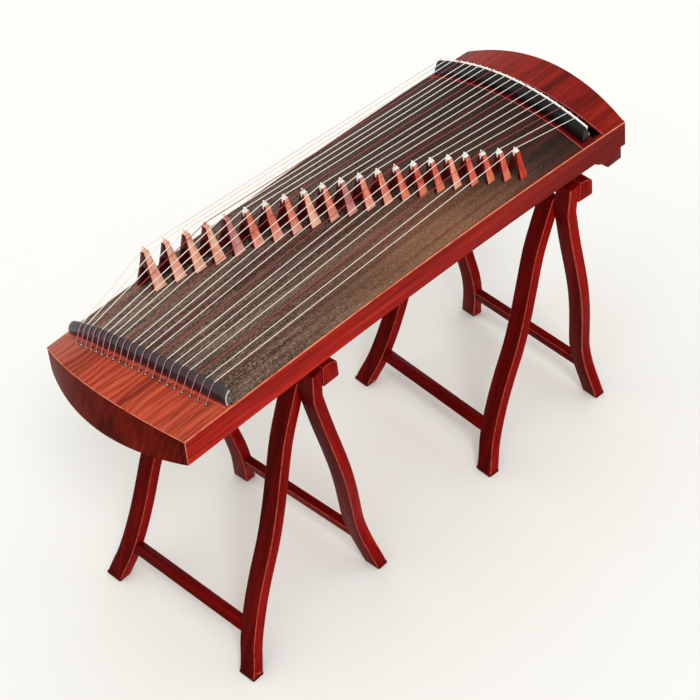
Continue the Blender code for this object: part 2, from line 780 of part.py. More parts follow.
def centre_on_floor():
    """Puts the middle of the whole object's outline at x = y = 0."""
    bpy.context.view_layer.update()
    corners = []
    for obj in bpy.data.objects:
        corners += [obj.matrix_world @ v.co for v in obj.data.vertices]
    shift = Vector((0.0, 0.0, 0.0))
    for axis in (0, 1):
        values = [c[axis] for c in corners]
        shift[axis] = -0.5 * (min(values) + max(values))
    for obj in bpy.data.objects:
        obj.location = obj.location + shift


def main():
    clear_scene()
    mats = {
        "paulownia": material("paulownia", (0.085, 0.062, 0.045), 0.55),
        "rosewood": material("rosewood", (0.42, 0.085, 0.035), 0.30, coat=0.4),
        "lacquer": material("lacquer", (0.36, 0.022, 0.012), 0.28, coat=0.5),
        "back": material("back", (0.45, 0.30, 0.17), 0.6),
        "ebony": material("ebony", (0.022, 0.017, 0.020), 0.25, coat=0.5),
        "bone": material("bone", (0.90, 0.88, 0.82), 0.35),
        "bridge": material("bridge", (0.62, 0.17, 0.08), 0.38, coat=0.2),
        "string": material("string", (0.86, 0.84, 0.80), 0.30),
        "steel": material("steel", (0.55, 0.53, 0.50), 0.30, metal=0.9),
        "stand": material("stand", (0.26, 0.014, 0.008), 0.30, coat=0.5),
    }
    make_box(mats)
    make_nuts(mats)
    make_pin_block(mats)
    make_feet(mats)
    make_strings(mats)
    for i in range(STRINGS):
        make_bridge(i, mats)
    make_stand("tail_stand", TAIL_STAND_SPOT, TAIL_STAND_REACH, TAIL_STAND_TURN, mats)
    make_stand("head_stand", HEAD_STAND_SPOT, HEAD_STAND_REACH, HEAD_STAND_TURN, mats)
    centre_on_floor()
    for mat in mats.values():
        bpy.data.materials.remove(mat)


main()
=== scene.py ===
"""Looks of the guzheng: lacquered box, burnt paulownia top, strings, bridges and two trestle stands.

X runs along the strings with +X toward the head, the player sits on the -Y side, Z is up. The
soundbox pieces are built in the box's own frame, whose middle line is y = 0, and then moved onto
the CAD box's middle line.
"""
import math

import bmesh
import bpy
from mathutils import Matrix, Vector


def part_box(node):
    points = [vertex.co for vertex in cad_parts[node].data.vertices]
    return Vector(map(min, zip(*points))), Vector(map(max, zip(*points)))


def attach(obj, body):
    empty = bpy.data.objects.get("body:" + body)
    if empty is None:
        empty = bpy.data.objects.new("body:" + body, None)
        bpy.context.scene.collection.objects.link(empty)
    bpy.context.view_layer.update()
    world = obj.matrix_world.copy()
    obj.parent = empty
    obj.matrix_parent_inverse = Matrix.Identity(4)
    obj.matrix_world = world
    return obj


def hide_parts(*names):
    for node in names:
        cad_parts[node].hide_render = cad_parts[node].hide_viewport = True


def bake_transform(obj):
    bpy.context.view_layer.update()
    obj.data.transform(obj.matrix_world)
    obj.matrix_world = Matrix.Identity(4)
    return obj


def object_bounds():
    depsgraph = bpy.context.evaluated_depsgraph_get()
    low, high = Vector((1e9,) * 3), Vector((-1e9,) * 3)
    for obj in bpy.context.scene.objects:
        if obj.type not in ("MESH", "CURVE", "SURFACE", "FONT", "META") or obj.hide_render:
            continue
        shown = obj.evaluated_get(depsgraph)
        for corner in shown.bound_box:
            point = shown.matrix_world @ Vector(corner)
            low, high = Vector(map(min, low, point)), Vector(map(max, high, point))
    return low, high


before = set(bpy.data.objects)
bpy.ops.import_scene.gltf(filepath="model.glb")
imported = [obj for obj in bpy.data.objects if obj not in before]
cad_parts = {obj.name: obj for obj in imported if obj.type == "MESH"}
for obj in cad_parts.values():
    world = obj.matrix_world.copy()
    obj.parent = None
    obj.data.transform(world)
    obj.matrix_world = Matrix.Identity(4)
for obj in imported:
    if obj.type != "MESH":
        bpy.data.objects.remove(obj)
CAD_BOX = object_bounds()

# ---- dimensions of the sound box, in metres ------------------------------------------------
GAP = 0.0003
EDGE_Z = 0.725           # height of the long top edges at the two ends
BASE_Z = 0.667           # underside at the two ends
SIDE_RISE = 0.0150       # how far the long edges and the underside curve up in between
BOX_Y = 0.5 * (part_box("near_side")[0].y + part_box("far_side")[1].y)
TAIL_X, HEAD_X = -0.612, 0.6405
HALF_TAIL, HALF_HEAD = 0.2078, 0.2295
CROWN_TAIL, CROWN_HEAD = 0.040, 0.050
TAIL_BOW_TOP, TAIL_BOW_BASE, TAIL_TOE, HEAD_BOW = 0.039, 0.049, 0.0035, 0.024
SIDE_T, TOP_T, END_T, HEAD_T = 0.009, 0.008, 0.020, 0.016
SOUND_END_X, STRIP_X, NUT_BACK_X, DECK_END_X, LID_X = 0.505, 0.516, 0.5352, 0.545, 0.572
SADDLE_X, SADDLE_TOP = 0.5330, 0.034
SKIN_T = 0.0011          # thickness of the veneer that runs out over the side boards
ARRIS_W = 0.0021         # width of the painted highlight along the long top edges

STRINGS = 21
STRING_R_LOW, STRING_R_HIGH = 0.00095, 0.00070
SADDLE_FAR_Y, SADDLE_NEAR_Y = 0.205, -0.184
BAR_FAR_Y, BAR_NEAR_Y = 0.1535, -0.177
BAR_HALF_LEN, BAR_FAR_LEN = 0.204, 0.195   # reach of the rear nut, near side and far side
BRIDGE_FIRST_X, BRIDGE_PITCH_LOW, BRIDGE_PITCH_HIGH = -0.3700, 0.0420, 0.0293
BARE_TIPS = 5            # the lowest bridges have plain wooden tips
RED_STRINGS = (3, 8, 13, 18)   # counted from the highest string
BRIDGE_WOODS = ("b_pale", "b_pale", "b_pale", "b_pale", "b_mauve", "b_salmon", "b_salmon",
                "b_salmon", "b_pale", "b_salmon", "b_mauve", "b_salmon", "b_salmon", "b_rose",
                "b_rose", "b_rose", "b_salmon", "b_rose", "b_rose", "b_rose", "b_red")

# ---- outlines: X, counted from bar_x on the rear nut, then height above the top ------------
BAR_PROFILE = ((0.0, GAP), (-0.002, 0.008), (-0.002, 0.017), (0.0005, 0.026), (0.005, 0.032),
               (0.0105, 0.0355), (0.015, 0.034), (0.0185, 0.027), (0.021, 0.015), (0.0225, GAP))
BAR_MIDDLE_X, BAR_MIDDLE_Z, BAR_ROUND_Z = 0.0102, 0.0150, 0.016
BAR_ROUNDING, BAR_TUCK = 0.0012, 0.0010   # length and depth of the rear nut's rounded ends
NUT_CURVE = ((STRIP_X, GAP), (0.5165, 0.0065), (0.5188, 0.0160), (0.5238, 0.0255),
             (0.5306, 0.0322))
NUT_BACK = ((0.5308, 0.0283), (NUT_BACK_X, 0.0283), (NUT_BACK_X, GAP))
NUT_HALF_LEN, SADDLE_HALF_LEN = 0.214, 0.2135
OVER_REAR_NUT = ((-0.0012, 0.0272), (0.0037, 0.0338), (0.0102, 0.0373))   # a string's bends there

# ---- outlines of turned pieces: radius, then height ----------------------------------------
EYELET_PROFILE = ((0.0013, -0.0020), (0.0013, 0.0009), (0.0017, 0.0014), (0.0024, 0.0012),
                  (0.0031, 0.0004), (0.0032, -0.0001))
WASHER_PROFILE = ((0.0046, 0.00012), (0.0046, 0.00030), (0.0030, 0.00042))

PIN_BLOCK_TOP, PINS_REACH = 0.7002, 0.2
WINDING_Z, WINDING_R, WINDING_TURNS = 0.7035, 0.0036, 4
WIRE_R, WIRE_PITCH, WIRE_SIDES = 0.0006, 0.0017, 6
LINE_LIFT = 0.0003       # how far a cross line stands proud
PIVOT_Z, INNER_RUN, OUTER_RUN = 0.598, 0.288, 0.083   # a leg's foot lies this far along X

TUBE_SIDES, CIRCLE_SIDES, CURVE_STEPS, SIDE_STEPS = 10, 16, 4, 24
COLLECTION = bpy.context.scene.collection


# ---- shape of the box ----------------------------------------------------------------------
def along_share(x):
    return (x - TAIL_X) / (HEAD_X - TAIL_X)


def half_width(x):
    return HALF_TAIL + (HALF_HEAD - HALF_TAIL) * along_share(x)


def inner_half(x):
    return half_width(x) - SIDE_T - GAP


def rise(x):
    """Lift of the long edges and the underside, most of it just headward of the middle."""
    t = 2.0 * along_share(x) - 1.0
    return SIDE_RISE * max(0.0, 1.0 - t * t) * (1.0 + 0.2 * t)


def base_z(x):
    return BASE_Z + rise(x)


def top_z(x, y):
    crown = CROWN_TAIL + (CROWN_HEAD - CROWN_TAIL) * along_share(x)
    return EDGE_Z + crown - (crown - rise(x)) * (y / half_width(x)) ** 2


def tail_x(y, at_top):
    bow = TAIL_BOW_BASE + (TAIL_BOW_TOP - TAIL_BOW_BASE) * at_top
    corner = TAIL_X - TAIL_TOE * (1.0 - at_top)
    return corner - bow * (1.0 - (y / HALF_TAIL) ** 2)


def head_x(y):
    return HEAD_X + HEAD_BOW * (1.0 - (y / HALF_HEAD) ** 2)


def bar_x(y):
    sweep = max(0.0, (0.12 - y) / 0.325)
    return -0.5605 + 0.060 * sweep ** 1.8


def bar_low(y):
    """How far the rear nut's height is cut down toward its far end."""
    return 1.0 - 0.30 * max(0.0, (y - 0.09) / 0.105) ** 1.2


def seam_x(y):
    return bar_x(y) + 0.011


def share(i):
    return i / (STRINGS - 1.0)


def bar_y(i):
    return BAR_FAR_Y + (BAR_NEAR_Y - BAR_FAR_Y) * share(i)


def saddle_y(i):
    return SADDLE_FAR_Y + (SADDLE_NEAR_Y - SADDLE_FAR_Y) * share(i)


def string_r(i):
    return STRING_R_LOW + (STRING_R_HIGH - STRING_R_LOW) * share(i)


def string_y(i, x):
    x0 = bar_x(bar_y(i)) + 0.010
    return bar_y(i) + (saddle_y(i) - bar_y(i)) * (x - x0) / (SADDLE_X - x0)


def bridge_spot(i):
    slope = (BRIDGE_PITCH_HIGH - BRIDGE_PITCH_LOW) / (STRINGS - 2.0)
    x = BRIDGE_FIRST_X + BRIDGE_PITCH_LOW * i + 0.5 * slope * i * (i - 1)
    return (x, string_y(i, x))


def bridge_height(i):
    return 0.0637 + 0.0308 * (1.0 - share(i)) ** 1.1


def eyelet_spot(i):
    y = bar_y(i) * 0.985
    x = bar_x(y) - 0.016
    return (x, y, top_z(x, y))


def pin_spot(i):
    return (LID_X + 0.008 + 0.013 * (i % 2), saddle_y(i) * 0.955)


# ---- mesh helpers --------------------------------------------------------------------------
def across(half, steps):
    """Even stations from -half to +half."""
    return [(-1.0 + 2.0 * k / steps) * half for k in range(steps + 1)]


def level_circle(x, y, z, radius):
    turns = [2 * math.pi * s / CIRCLE_SIDES for s in range(CIRCLE_SIDES)]
    return [(x + radius * math.cos(a), y + radius * math.sin(a), z) for a in turns]


def finish_piece(name, bm, mats, body, smooth, nodes=(), shift=True):
    """Turns a bmesh into a piece that rides on a body and may stand for CAD nodes."""
    bmesh.ops.recalc_face_normals(bm, faces=bm.faces)
    mesh = bpy.data.meshes.new(name)
    bm.to_mesh(mesh)
    bm.free()
    if shift:
        mesh.transform(Matrix.Translation((0.0, BOX_Y, 0.0)))
    for mat in mats:
        mesh.materials.append(mat)
    for poly in mesh.polygons:
        poly.use_smooth = True
    mesh.set_sharp_from_angle(angle=math.radians(smooth))
    obj = bpy.data.objects.new(name, mesh)
    COLLECTION.objects.link(obj)
    if body:
        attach(obj, body)
    if nodes:
        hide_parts(*nodes)
    return obj


def bevel_edges(bm, width, angle, edge_slot=None):
    """Rounds every edge sharper than the angle; the new faces may take another material."""
    sharp = [e for e in bm.edges if len(e.link_faces) == 2
             and e.calc_face_angle(0.0) > math.radians(angle)]
    made = bmesh.ops.bevel(bm, geom=sharp, offset=width, offset_type="OFFSET", segments=2,
                           profile=0.5, affect="EDGES", clamp_overlap=True)
    if edge_slot is not None:
        for face in made["faces"]:
            face.material_index = edge_slot


def add_rings(bm, rings):
    """Skin through equal rings of points, closed by a face at each end."""
    made = [[bm.verts.new(p) for p in ring] for ring in rings]
    count = len(made[0])
    for low, high in zip(made, made[1:]):
        for i in range(count):
            j = (i + 1) % count
            bm.faces.new((low[i], low[j], high[j], high[i]))
    bm.faces.new(made[0])
    bm.faces.new(made[-1][::-1])


def ring_piece(name, rings, mat, body, smooth, nodes=(), shift=True):
    """A piece that is one skin through rings of points."""
    bm = bmesh.new()
    add_rings(bm, rings)
    return finish_piece(name, bm, [mat], body, smooth, nodes, shift)


def refined(node, mats, body, bevel=0.0, angle=50.0, edge_slot=None, paint=None):
    """A copy of a CAD node with its flat faces joined and its edges rounded."""
    bm = bmesh.new()
    bm.from_mesh(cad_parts[node].data)
    bmesh.ops.remove_doubles(bm, verts=bm.verts, dist=1e-6)
    bmesh.ops.dissolve_limit(bm, angle_limit=math.radians(0.4), verts=bm.verts, edges=bm.edges)
    for face in bm.faces:
        face.material_index = paint(face) if paint else 0
    if bevel:
        bevel_edges(bm, bevel, angle, edge_slot)
    finish_piece(node + "_shown", bm, mats, body, 35.0, (node,), shift=False)


def smooth_profile(points):
    """Catmull-Rom curve through the points of a flat outline."""
    curve = []
    for k in range(len(points) - 1):
        p0 = Vector(points[max(k - 1, 0)])
        p1 = Vector(points[k])
        p2 = Vector(points[k + 1])
        p3 = Vector(points[min(k + 2, len(points) - 1)])
        for s in range(CURVE_STEPS):
            t = s / CURVE_STEPS
            curve.append(0.5 * (2 * p1 + (p2 - p0) * t + (2 * p0 - 5 * p1 + 4 * p2 - p3) * t ** 2
                                + (3 * p1 - p0 - 3 * p2 + p3) * t ** 3))
    curve.append(Vector(points[-1]))
    return [(p.x, p.y) for p in curve]


def tube_rings(path, radius):
    """Rings round a path, each square to the way it runs there."""
    turns = [2 * math.pi * s / TUBE_SIDES for s in range(TUBE_SIDES)]
    rings = []
    for k, point in enumerate(path):
        here = Vector(point)
        came = here - Vector(path[k - 1]) if k > 0 else Vector(path[1]) - here
        goes = Vector(path[k + 1]) - here if k < len(path) - 1 else came
        along = (came.normalized() + goes.normalized()).normalized()
        side = along.cross(Vector((0.0, 1.0, 0.0)))
        if side.length < 0.2:
            side = along.cross(Vector((0.0, 0.0, 1.0)))
        side.normalize()
        up = side.cross(along)
        rings.append([here + radius * (math.cos(a) * side + math.sin(a) * up) for a in turns])
    return rings


# ---- material helpers: colours are 0-255 screen values -------------------------------------
def srgb(r, g, b):
    """Linear colour for a shader."""
    out = []
    for c in (r, g, b):
        c = c / 255.0
        out.append(c / 12.92 if c <= 0.04045 else ((c + 0.055) / 1.055) ** 2.4)
    return (out[0], out[1], out[2], 1.0)


class Nodes:
    """Short-hand for building a node material."""

    def __init__(self, name, rough, spec, metal=0.0):
        self.mat = bpy.data.materials.new(name)
        self.mat.use_nodes = True
        self.tree = self.mat.node_tree
        self.shader = self.tree.nodes["Principled BSDF"]
        self.shader.inputs["Roughness"].default_value = rough
        self.shader.inputs["Specular IOR Level"].default_value = spec
        self.shader.inputs["Metallic"].default_value = metal
        self.coords = self.add("TexCoord").outputs["Object"]

    def add(self, kind, **values):
        """A new node with some inputs set; an underscore in a key stands for a space."""
        node = self.tree.nodes.new("ShaderNode" + kind)
        for key, value in values.items():
            node.inputs[key.replace("_", " ")].default_value = value
        return node

    def link(self, out, node, key):
        self.tree.links.new(out, node.inputs[key])

    def mapped(self, scale, turn=None, place=(0.0, 0.0, 0.0)):
        """Object coordinates, turned to a leaning piece if asked, then scaled and moved."""
        vector = self.coords
        if turn:
            lean = self.add("Mapping")
            lean.vector_type = "TEXTURE"
            lean.inputs["Rotation"].default_value = turn
            self.link(vector, lean, "Vector")
            vector = lean.outputs[0]
        node = self.add("Mapping", Scale=scale, Location=place)
        self.link(vector, node, "Vector")
        return node.outputs[0]

    def noise(self, vector, detail, rough=0.5, distort=0.0):
        node = self.add("TexNoise", Scale=1.0, Detail=detail, Roughness=rough, Distortion=distort)
        self.link(vector, node, "Vector")
        return node.outputs["Fac"]

    def waves(self, vector, scale, distortion, detail, detail_scale):
        node = self.add("TexWave", Scale=scale, Distortion=distortion, Detail=detail,
                        Detail_Scale=detail_scale)
        node.wave_type = "BANDS"
        node.bands_direction = "Y"
        node.wave_profile = "SIN"
        self.link(vector, node, "Vector")
        return node.outputs["Fac"]

    def ramp(self, value, stops):
        node = self.add("ValToRGB")
        while len(node.color_ramp.elements) < len(stops):
            node.color_ramp.elements.new(0.5)
        for element, (place, color) in zip(node.color_ramp.elements, stops):
            element.position = place
            element.color = srgb(*color)
        self.link(value, node, "Fac")
        return node.outputs["Color"]

    def blend(self, factor, a, b):
        """From colour a to colour b; b may be given as screen values."""
        node = self.add("Mix")
        node.data_type = "RGBA"
        if isinstance(factor, float):
            node.inputs["Factor"].default_value = factor
        else:
            self.link(factor, node, "Factor")
        for key, value in (("A", a), ("B", b)):
            socket = [s for s in node.inputs if s.name == key and s.type == "RGBA"][0]
            if isinstance(value, tuple):
                socket.default_value = srgb(*value)
            else:
                self.tree.links.new(value, socket)
        return [s for s in node.outputs if s.type == "RGBA"][0]

    def math(self, kind, a, b):
        node = self.add("Math")
        node.operation = kind
        for index, value in ((0, a), (1, b)):
            if isinstance(value, float):
                node.inputs[index].default_value = value
            else:
                self.tree.links.new(value, node.inputs[index])
        return node.outputs[0]

    def weighted(self, first, *others):
        """Sum of values, each times its own weight."""
        total = self.math("MULTIPLY", *first)
        for value, weight in others:
            total = self.math("ADD", total, self.math("MULTIPLY", value, weight))
        return total

    def stretch(self, value, low, high, to_low=0.0, to_high=1.0):
        node = self.add("MapRange", From_Min=low, From_Max=high, To_Min=to_low, To_Max=to_high)
        self.link(value, node, "Value")
        return node.outputs[0]

    def height_share(self):
        """0 at the bottom of the piece and 1 at its top."""
        node = self.add("SeparateXYZ")
        self.link(self.coords.node.outputs["Generated"], node, 0)
        return node.outputs["Z"]

    def axis(self, name):
        node = self.add("SeparateXYZ")
        self.link(self.coords, node, 0)
        return node.outputs[name]

    def done(self, color, rough=None, height=None, bump=0.0, distance=0.0):
        self.link(color, self.shader, "Base Color")
        if rough is not None:
            self.link(rough, self.shader, "Roughness")
        if height is not None:
            node = self.add("Bump", Strength=bump, Distance=distance)
            self.link(height, node, "Height")
            self.link(node.outputs[0], self.shader, "Normal")
        return self.mat


def streaked_wood(name, tones, along, fine, broad, reach=2.2, turn=None, rough=0.34, spec=0.22,
                  head_shade=None):
    """Lacquered wood with fine pores and broader streaks along one axis.

    Tones are dark, middle and light. The wood may darken toward the head, a painted shade.
    """
    n = Nodes(name, rough, spec)
    dark, middle, light = tones

    def spread(freq, along_freq):
        scale = {"X": (along_freq, freq, freq), "Y": (freq, along_freq, freq),
                 "Z": (freq, freq, along_freq)}[along]
        return n.mapped(scale, turn)

    pores = n.noise(spread(fine, reach * 3.0), 3.0, 0.6)
    streaks = n.noise(spread(broad, reach), 4.0, 0.55, 0.3)
    bands = n.noise(spread(broad * 0.28, reach * 0.5), 2.0)
    mixed = n.weighted((pores, 0.30), (streaks, 0.45), (bands, 0.25))
    color = n.ramp(mixed, ((0.36, dark), (0.50, middle), (0.63, light)))
    if head_shade:
        color = n.blend(n.stretch(n.axis("X"), -0.20, 0.55, 0.0, 0.82), color, head_shade)
    shine = n.stretch(pores, 0.3, 0.7, rough - 0.05, rough + 0.09)
    return n.done(color, shine, pores, 0.12, 0.0003)


def tail_plate_wood():
    """Red-orange rosewood with cathedral figure: long wavy lines along X; paler toward the near side and
    greyer at the far corner, partly the wood's own tone and partly painted light and sheen.
    """
    n = Nodes("rosewood_plate", 0.34, 0.08)
    waves = n.waves(n.mapped((2.4, 9.0, 4.0)), 2.0, 11.0, 3.0, 0.8)
    lines = n.noise(n.mapped((4.0, 190.0, 60.0)), 4.0, 0.6, 0.2)
    bands = n.noise(n.mapped((1.6, 16.0, 8.0)), 2.0, 0.5, 0.6)
    base = n.ramp(bands, ((0.34, (128, 36, 22)), (0.48, (176, 60, 38)), (0.60, (206, 88, 56))))
    figure = n.ramp(waves, ((0.0, (116, 32, 24)), (0.20, (172, 60, 40)), (1.0, (208, 94, 64))))
    color = n.blend(0.50, base, figure)
    # Paler near the player: partly painted light. Greyer far corner: partly a painted sheen.
    near = n.stretch(n.axis("Y"), -0.08, -0.20, 0.0, 0.30)
    color = n.blend(near, color, (220, 98, 68))
    far = n.stretch(n.axis("Y"), 0.07, 0.20, 0.0, 0.50)
    color = n.blend(far, color, (176, 116, 94))
    color = n.blend(n.stretch(lines, 0.50, 0.64, 0.0, 0.80), color, (110, 30, 20))
    return n.done(color, n.stretch(lines, 0.3, 0.7, 0.30, 0.42), lines, 0.15, 0.0003)


def soundboard_wood():
    """Burnt paulownia: speckled grey-brown with fine lengthwise grain.

    Toward the head it is darkened by painted shade; the golden patch near the player at mid length is
    partly the wood's own tone and partly a painted sheen.
    """
    n = Nodes("burnt_paulownia", 0.50, 0.06)
    fine = n.noise(n.mapped((9.0, 430.0, 120.0)), 4.0, 0.7, 0.15)
    rows = n.noise(n.mapped((1.3, 95.0, 40.0)), 3.0, 0.5, 0.25)
    clouds = n.noise(n.mapped((3.2, 7.0, 3.0)), 2.0, 0.5, 0.4)
    flecks = n.noise(n.mapped((150.0, 430.0, 200.0)), 2.0, 0.6)
    grain = n.weighted((fine, 0.6), (rows, 0.4))
    color = n.ramp(grain, ((0.36, (50, 36, 30)), (0.46, (92, 71, 60)), (0.56, (132, 108, 94)),
                           (0.66, (170, 146, 130))))
    color = n.blend(n.stretch(flecks, 0.52, 0.64, 0.0, 0.70), color, (186, 158, 136))
    pits = n.noise(n.mapped((130.0, 470.0, 220.0), place=(7.0, 2.0, 0.0)), 2.0, 0.6)
    color = n.blend(n.stretch(pits, 0.53, 0.66, 0.0, 0.75), color, (36, 24, 18))
    # Painted shade: darker toward the head.
    head_shade = n.stretch(n.axis("X"), -0.45, 0.46, 0.04, 0.92)
    color = n.blend(head_shade, color, (38, 22, 16))
    # Golden patch near the player at mid length: partly the wood's own tone, partly a painted sheen.
    near = n.stretch(n.axis("Y"), -0.03, -0.20)
    middle = n.math("MULTIPLY", n.stretch(n.axis("X"), -0.34, 0.02),
                    n.stretch(n.axis("X"), 0.40, 0.14))
    speckle = n.stretch(flecks, 0.38, 0.62, 0.35, 0.85)
    golden_tone_and_sheen = n.math("MULTIPLY", n.math("MULTIPLY", near, middle), speckle)
    color = n.blend(golden_tone_and_sheen, color, (158, 110, 78))
    # Reddish streaks along the board: painted shadows and reflections of the strings.
    string_shade_and_sheen = n.noise(n.mapped((0.8, 70.0, 24.0), place=(3.0, 1.0, 0.0)), 2.0)
    color = n.blend(n.stretch(string_shade_and_sheen, 0.54, 0.66, 0.0, 0.50), color, (98, 40, 36))
    dim = n.stretch(clouds, 0.35, 0.65, 0.0, 0.28)
    color = n.blend(dim, color, (44, 30, 24))
    return n.done(color, n.stretch(fine, 0.3, 0.7, 0.42, 0.60), grain, 0.30, 0.0005)


def plain_finish(name, low, high, rough, spec, metal=0.0, scale=90.0):
    """A nearly even finish with a faint mottle in its colour and gloss."""
    n = Nodes(name, rough, spec, metal)
    mottle = n.noise(n.mapped((scale, scale, scale)), 4.0, 0.6)
    color = n.ramp(mottle, ((0.35, low), (0.65, high)))
    return n.done(color, n.stretch(mottle, 0.3, 0.7, rough * 0.85, rough * 1.2), mottle, 0.06, 0.0002)


def bridge_wood(name, dark, middle, light, foot):
    """Satin wood for a bridge's flanks, pale as lit wood, painted light; paler still toward the feet,
    partly the wood's own tone and partly painted light.
    """
    n = Nodes(name, 0.38, 0.12)
    pores = n.noise(n.mapped((420.0, 420.0, 30.0)), 3.0, 0.6)
    patches = n.noise(n.mapped((70.0, 70.0, 16.0)), 2.0)
    mixed = n.weighted((pores, 0.45), (patches, 0.55))
    color = n.ramp(mixed, ((0.38, dark), (0.50, middle), (0.62, light)))
    # Paler toward the feet: partly the wood's own tone, partly painted light.
    low = n.stretch(n.height_share(), 0.42, 0.05, 0.0, 0.55)
    color = n.blend(low, color, foot)
    return n.done(color, n.stretch(pores, 0.3, 0.7, 0.32, 0.46), pores, 0.12, 0.0003)


# ---- materials -----------------------------------------------------------------------------
def make_stand_woods():
    """Dark red legs; their near and far faces get a lit copy of the wood, a brighter red that is painted
    light.
    """
    faces = (("", "stand_", ((54, 3, 2), (84, 6, 4), (112, 12, 8)), 0.015),
             # The _side tones are the lit copy of the wood: painted light on the near and far faces.
             ("_side", "stand_lit_", ((92, 5, 4), (128, 11, 8), (158, 24, 15)), 0.02))
    leans = (("leg_in", math.atan2(INNER_RUN, PIVOT_Z)), ("leg_out", -math.atan2(OUTER_RUN, PIVOT_Z)))
    mats = {}
    for key, lean in leans:
        for suffix, prefix, tones, spec in faces:
            mats[key + suffix] = streaked_wood(prefix + key, tones, "Z", 230.0, 40.0, 3.0,
                                               turn=(0.0, lean, 0.0), spec=spec)
    return mats


def make_bridge_woods():
    # The pale flank woods are lit copies against the darker bridge_face wood: painted light on the flanks.
    peach = (255, 210, 184)
    return {
        "b_pale": bridge_wood("bridge_pale", (232, 150, 120), (250, 178, 148), (255, 204, 178), peach),
        "b_salmon": bridge_wood("bridge_salmon", (208, 100, 76), (236, 132, 104), (248, 168, 140),
                                peach),
        "b_mauve": bridge_wood("bridge_mauve", (180, 106, 98), (206, 136, 128), (226, 168, 158),
                               (236, 178, 162)),
        "b_rose": bridge_wood("bridge_rose", (190, 70, 54), (218, 98, 76), (238, 134, 108),
                              (246, 160, 116)),
        "b_red": bridge_wood("bridge_red", (150, 34, 22), (190, 54, 36), (220, 84, 58), (196, 76, 54)),
        "b_face": streaked_wood("bridge_face", ((52, 10, 9), (90, 18, 15), (128, 32, 24)), "Z", 420.0,
                                90.0, 9.0, spec=0.1),
    }


def make_box_woods():
    return {
        "sound": soundboard_wood(),
        "plate": tail_plate_wood(),
        "lid": streaked_wood("red_lid", ((84, 8, 4), (126, 20, 10), (166, 38, 18)), "X", 170.0, 42.0,
                             2.5, spec=0.08),
        # The side boards darken toward the head: painted shade.
        "side": streaked_wood("red_side", ((108, 12, 8), (168, 30, 20), (206, 56, 38)), "X", 260.0,
                              46.0, 1.4, spec=0.04, head_shade=(84, 10, 8)),
        # The end board wood is painted darker than the side boards' red: painted shade on the tail-facing
        # faces.
        "end": streaked_wood("shaded_end_board", ((44, 8, 4), (96, 20, 11), (128, 32, 18)), "Z", 130.0, 22.0,
                             4.0, turn=(0.32, 0.0, 0.0), spec=0.01),
        "deck": streaked_wood("deck_strip", ((66, 6, 8), (104, 12, 14), (134, 24, 24)), "Y", 200.0,
                              30.0, 2.0, spec=0.04),
        "head": streaked_wood("head_board", ((70, 10, 6), (112, 20, 12), (140, 32, 19)), "Y", 200.0,
                              30.0, 2.0, spec=0.08),
        "inner": streaked_wood("bare_wood", ((142, 104, 66), (176, 134, 92), (198, 158, 112)), "X",
                               300.0, 26.0, rough=0.6),
        # Near-black wood for the pin block: painted shade seen through the slot behind the front nut.
        "well": streaked_wood("painted_slot_shade", ((16, 8, 6), (28, 14, 10), (44, 22, 16)), "X", 240.0, 30.0,
                              rough=0.6, spec=0.05),
        "cross": streaked_wood("stand_cross", ((62, 2, 2), (92, 5, 4), (124, 13, 10)), "Y", 230.0,
                               40.0, 3.0, spec=0.015),
    }


def make_plain_finishes():
    return {
        # Paler red for the chamfers of the stands: a painted highlight on lit edges.
        "edge": plain_finish("stand_edge_highlight", (150, 44, 36), (184, 72, 60), 0.35, 0.1),
        # Pale orange for lit edges of the box: a painted highlight.
        "line": plain_finish("arris_highlight", (206, 92, 60), (238, 146, 112), 0.35, 0.1, scale=34.0),
        "pink": plain_finish("pink_line", (196, 74, 78), (226, 118, 116), 0.35, 0.1),
        "black": plain_finish("black_lacquer", (30, 20, 26), (50, 36, 44), 0.26, 0.6, scale=36.0),
        "nut": plain_finish("black_nut", (8, 6, 6), (20, 16, 15), 0.34, 0.3, scale=60.0),
        "bone": plain_finish("bone", (250, 246, 232), (255, 254, 248), 0.36, 0.3, scale=160.0),
        "rim": plain_finish("nut_end_rim", (176, 170, 168), (206, 200, 196), 0.35, 0.4),
        "string": plain_finish("string_wrap", (232, 222, 210), (255, 252, 244), 0.32, 0.5, scale=700.0),
        "red_string": plain_finish("red_string", (146, 48, 52), (176, 74, 76), 0.36, 0.4, scale=700.0),
        "thread": plain_finish("string_tail_thread", (170, 108, 114), (214, 152, 158), 0.5, 0.3,
                               scale=900.0),
        "steel": plain_finish("plain_steel", (150, 148, 145), (190, 188, 184), 0.28, 0.5, metal=0.9,
                              scale=220.0),
        "pad": plain_finish("foot_pad", (70, 8, 8), (96, 14, 12), 0.6, 0.1, scale=300.0),
    }


def make_materials():
    mats = {}
    for group in (make_stand_woods, make_bridge_woods, make_box_woods, make_plain_finishes):
        mats.update(group())
    return mats


# ---- sound box -----------------------------------------------------------------------------
def plate_piece(name, x_start, x_end, mat, body, node, parts):
    """A top plate that follows the arch, with thin wings out over the side boards."""
    stations = [("out", -1.0), ("rim", -1.0)] + [("in", v) for v in across(1.0, 44)]
    stations += [("rim", 1.0), ("out", 1.0)]
    rings = []
    for kind, v in stations:
        y_ref = v * inner_half(0.5 * (x_start(0.0) + x_end(0.0)))
        thick = TOP_T if kind == "in" else SKIN_T
        upper = []
        lower = []
        for k in range(parts + 1):
            x = x_start(y_ref) + (x_end(y_ref) - x_start(y_ref)) * k / parts
            reach = {"in": inner_half(x), "rim": inner_half(x) + 0.0001,
                     "out": half_width(x) - ARRIS_W}[kind]
            z = top_z(x, v * reach)
            upper.append((x, v * reach, z))
            lower.append((x, v * reach, z - thick))
        rings.append(lower + upper[::-1])
    ring_piece(name, rings, mat, body, 40.0, (node,))


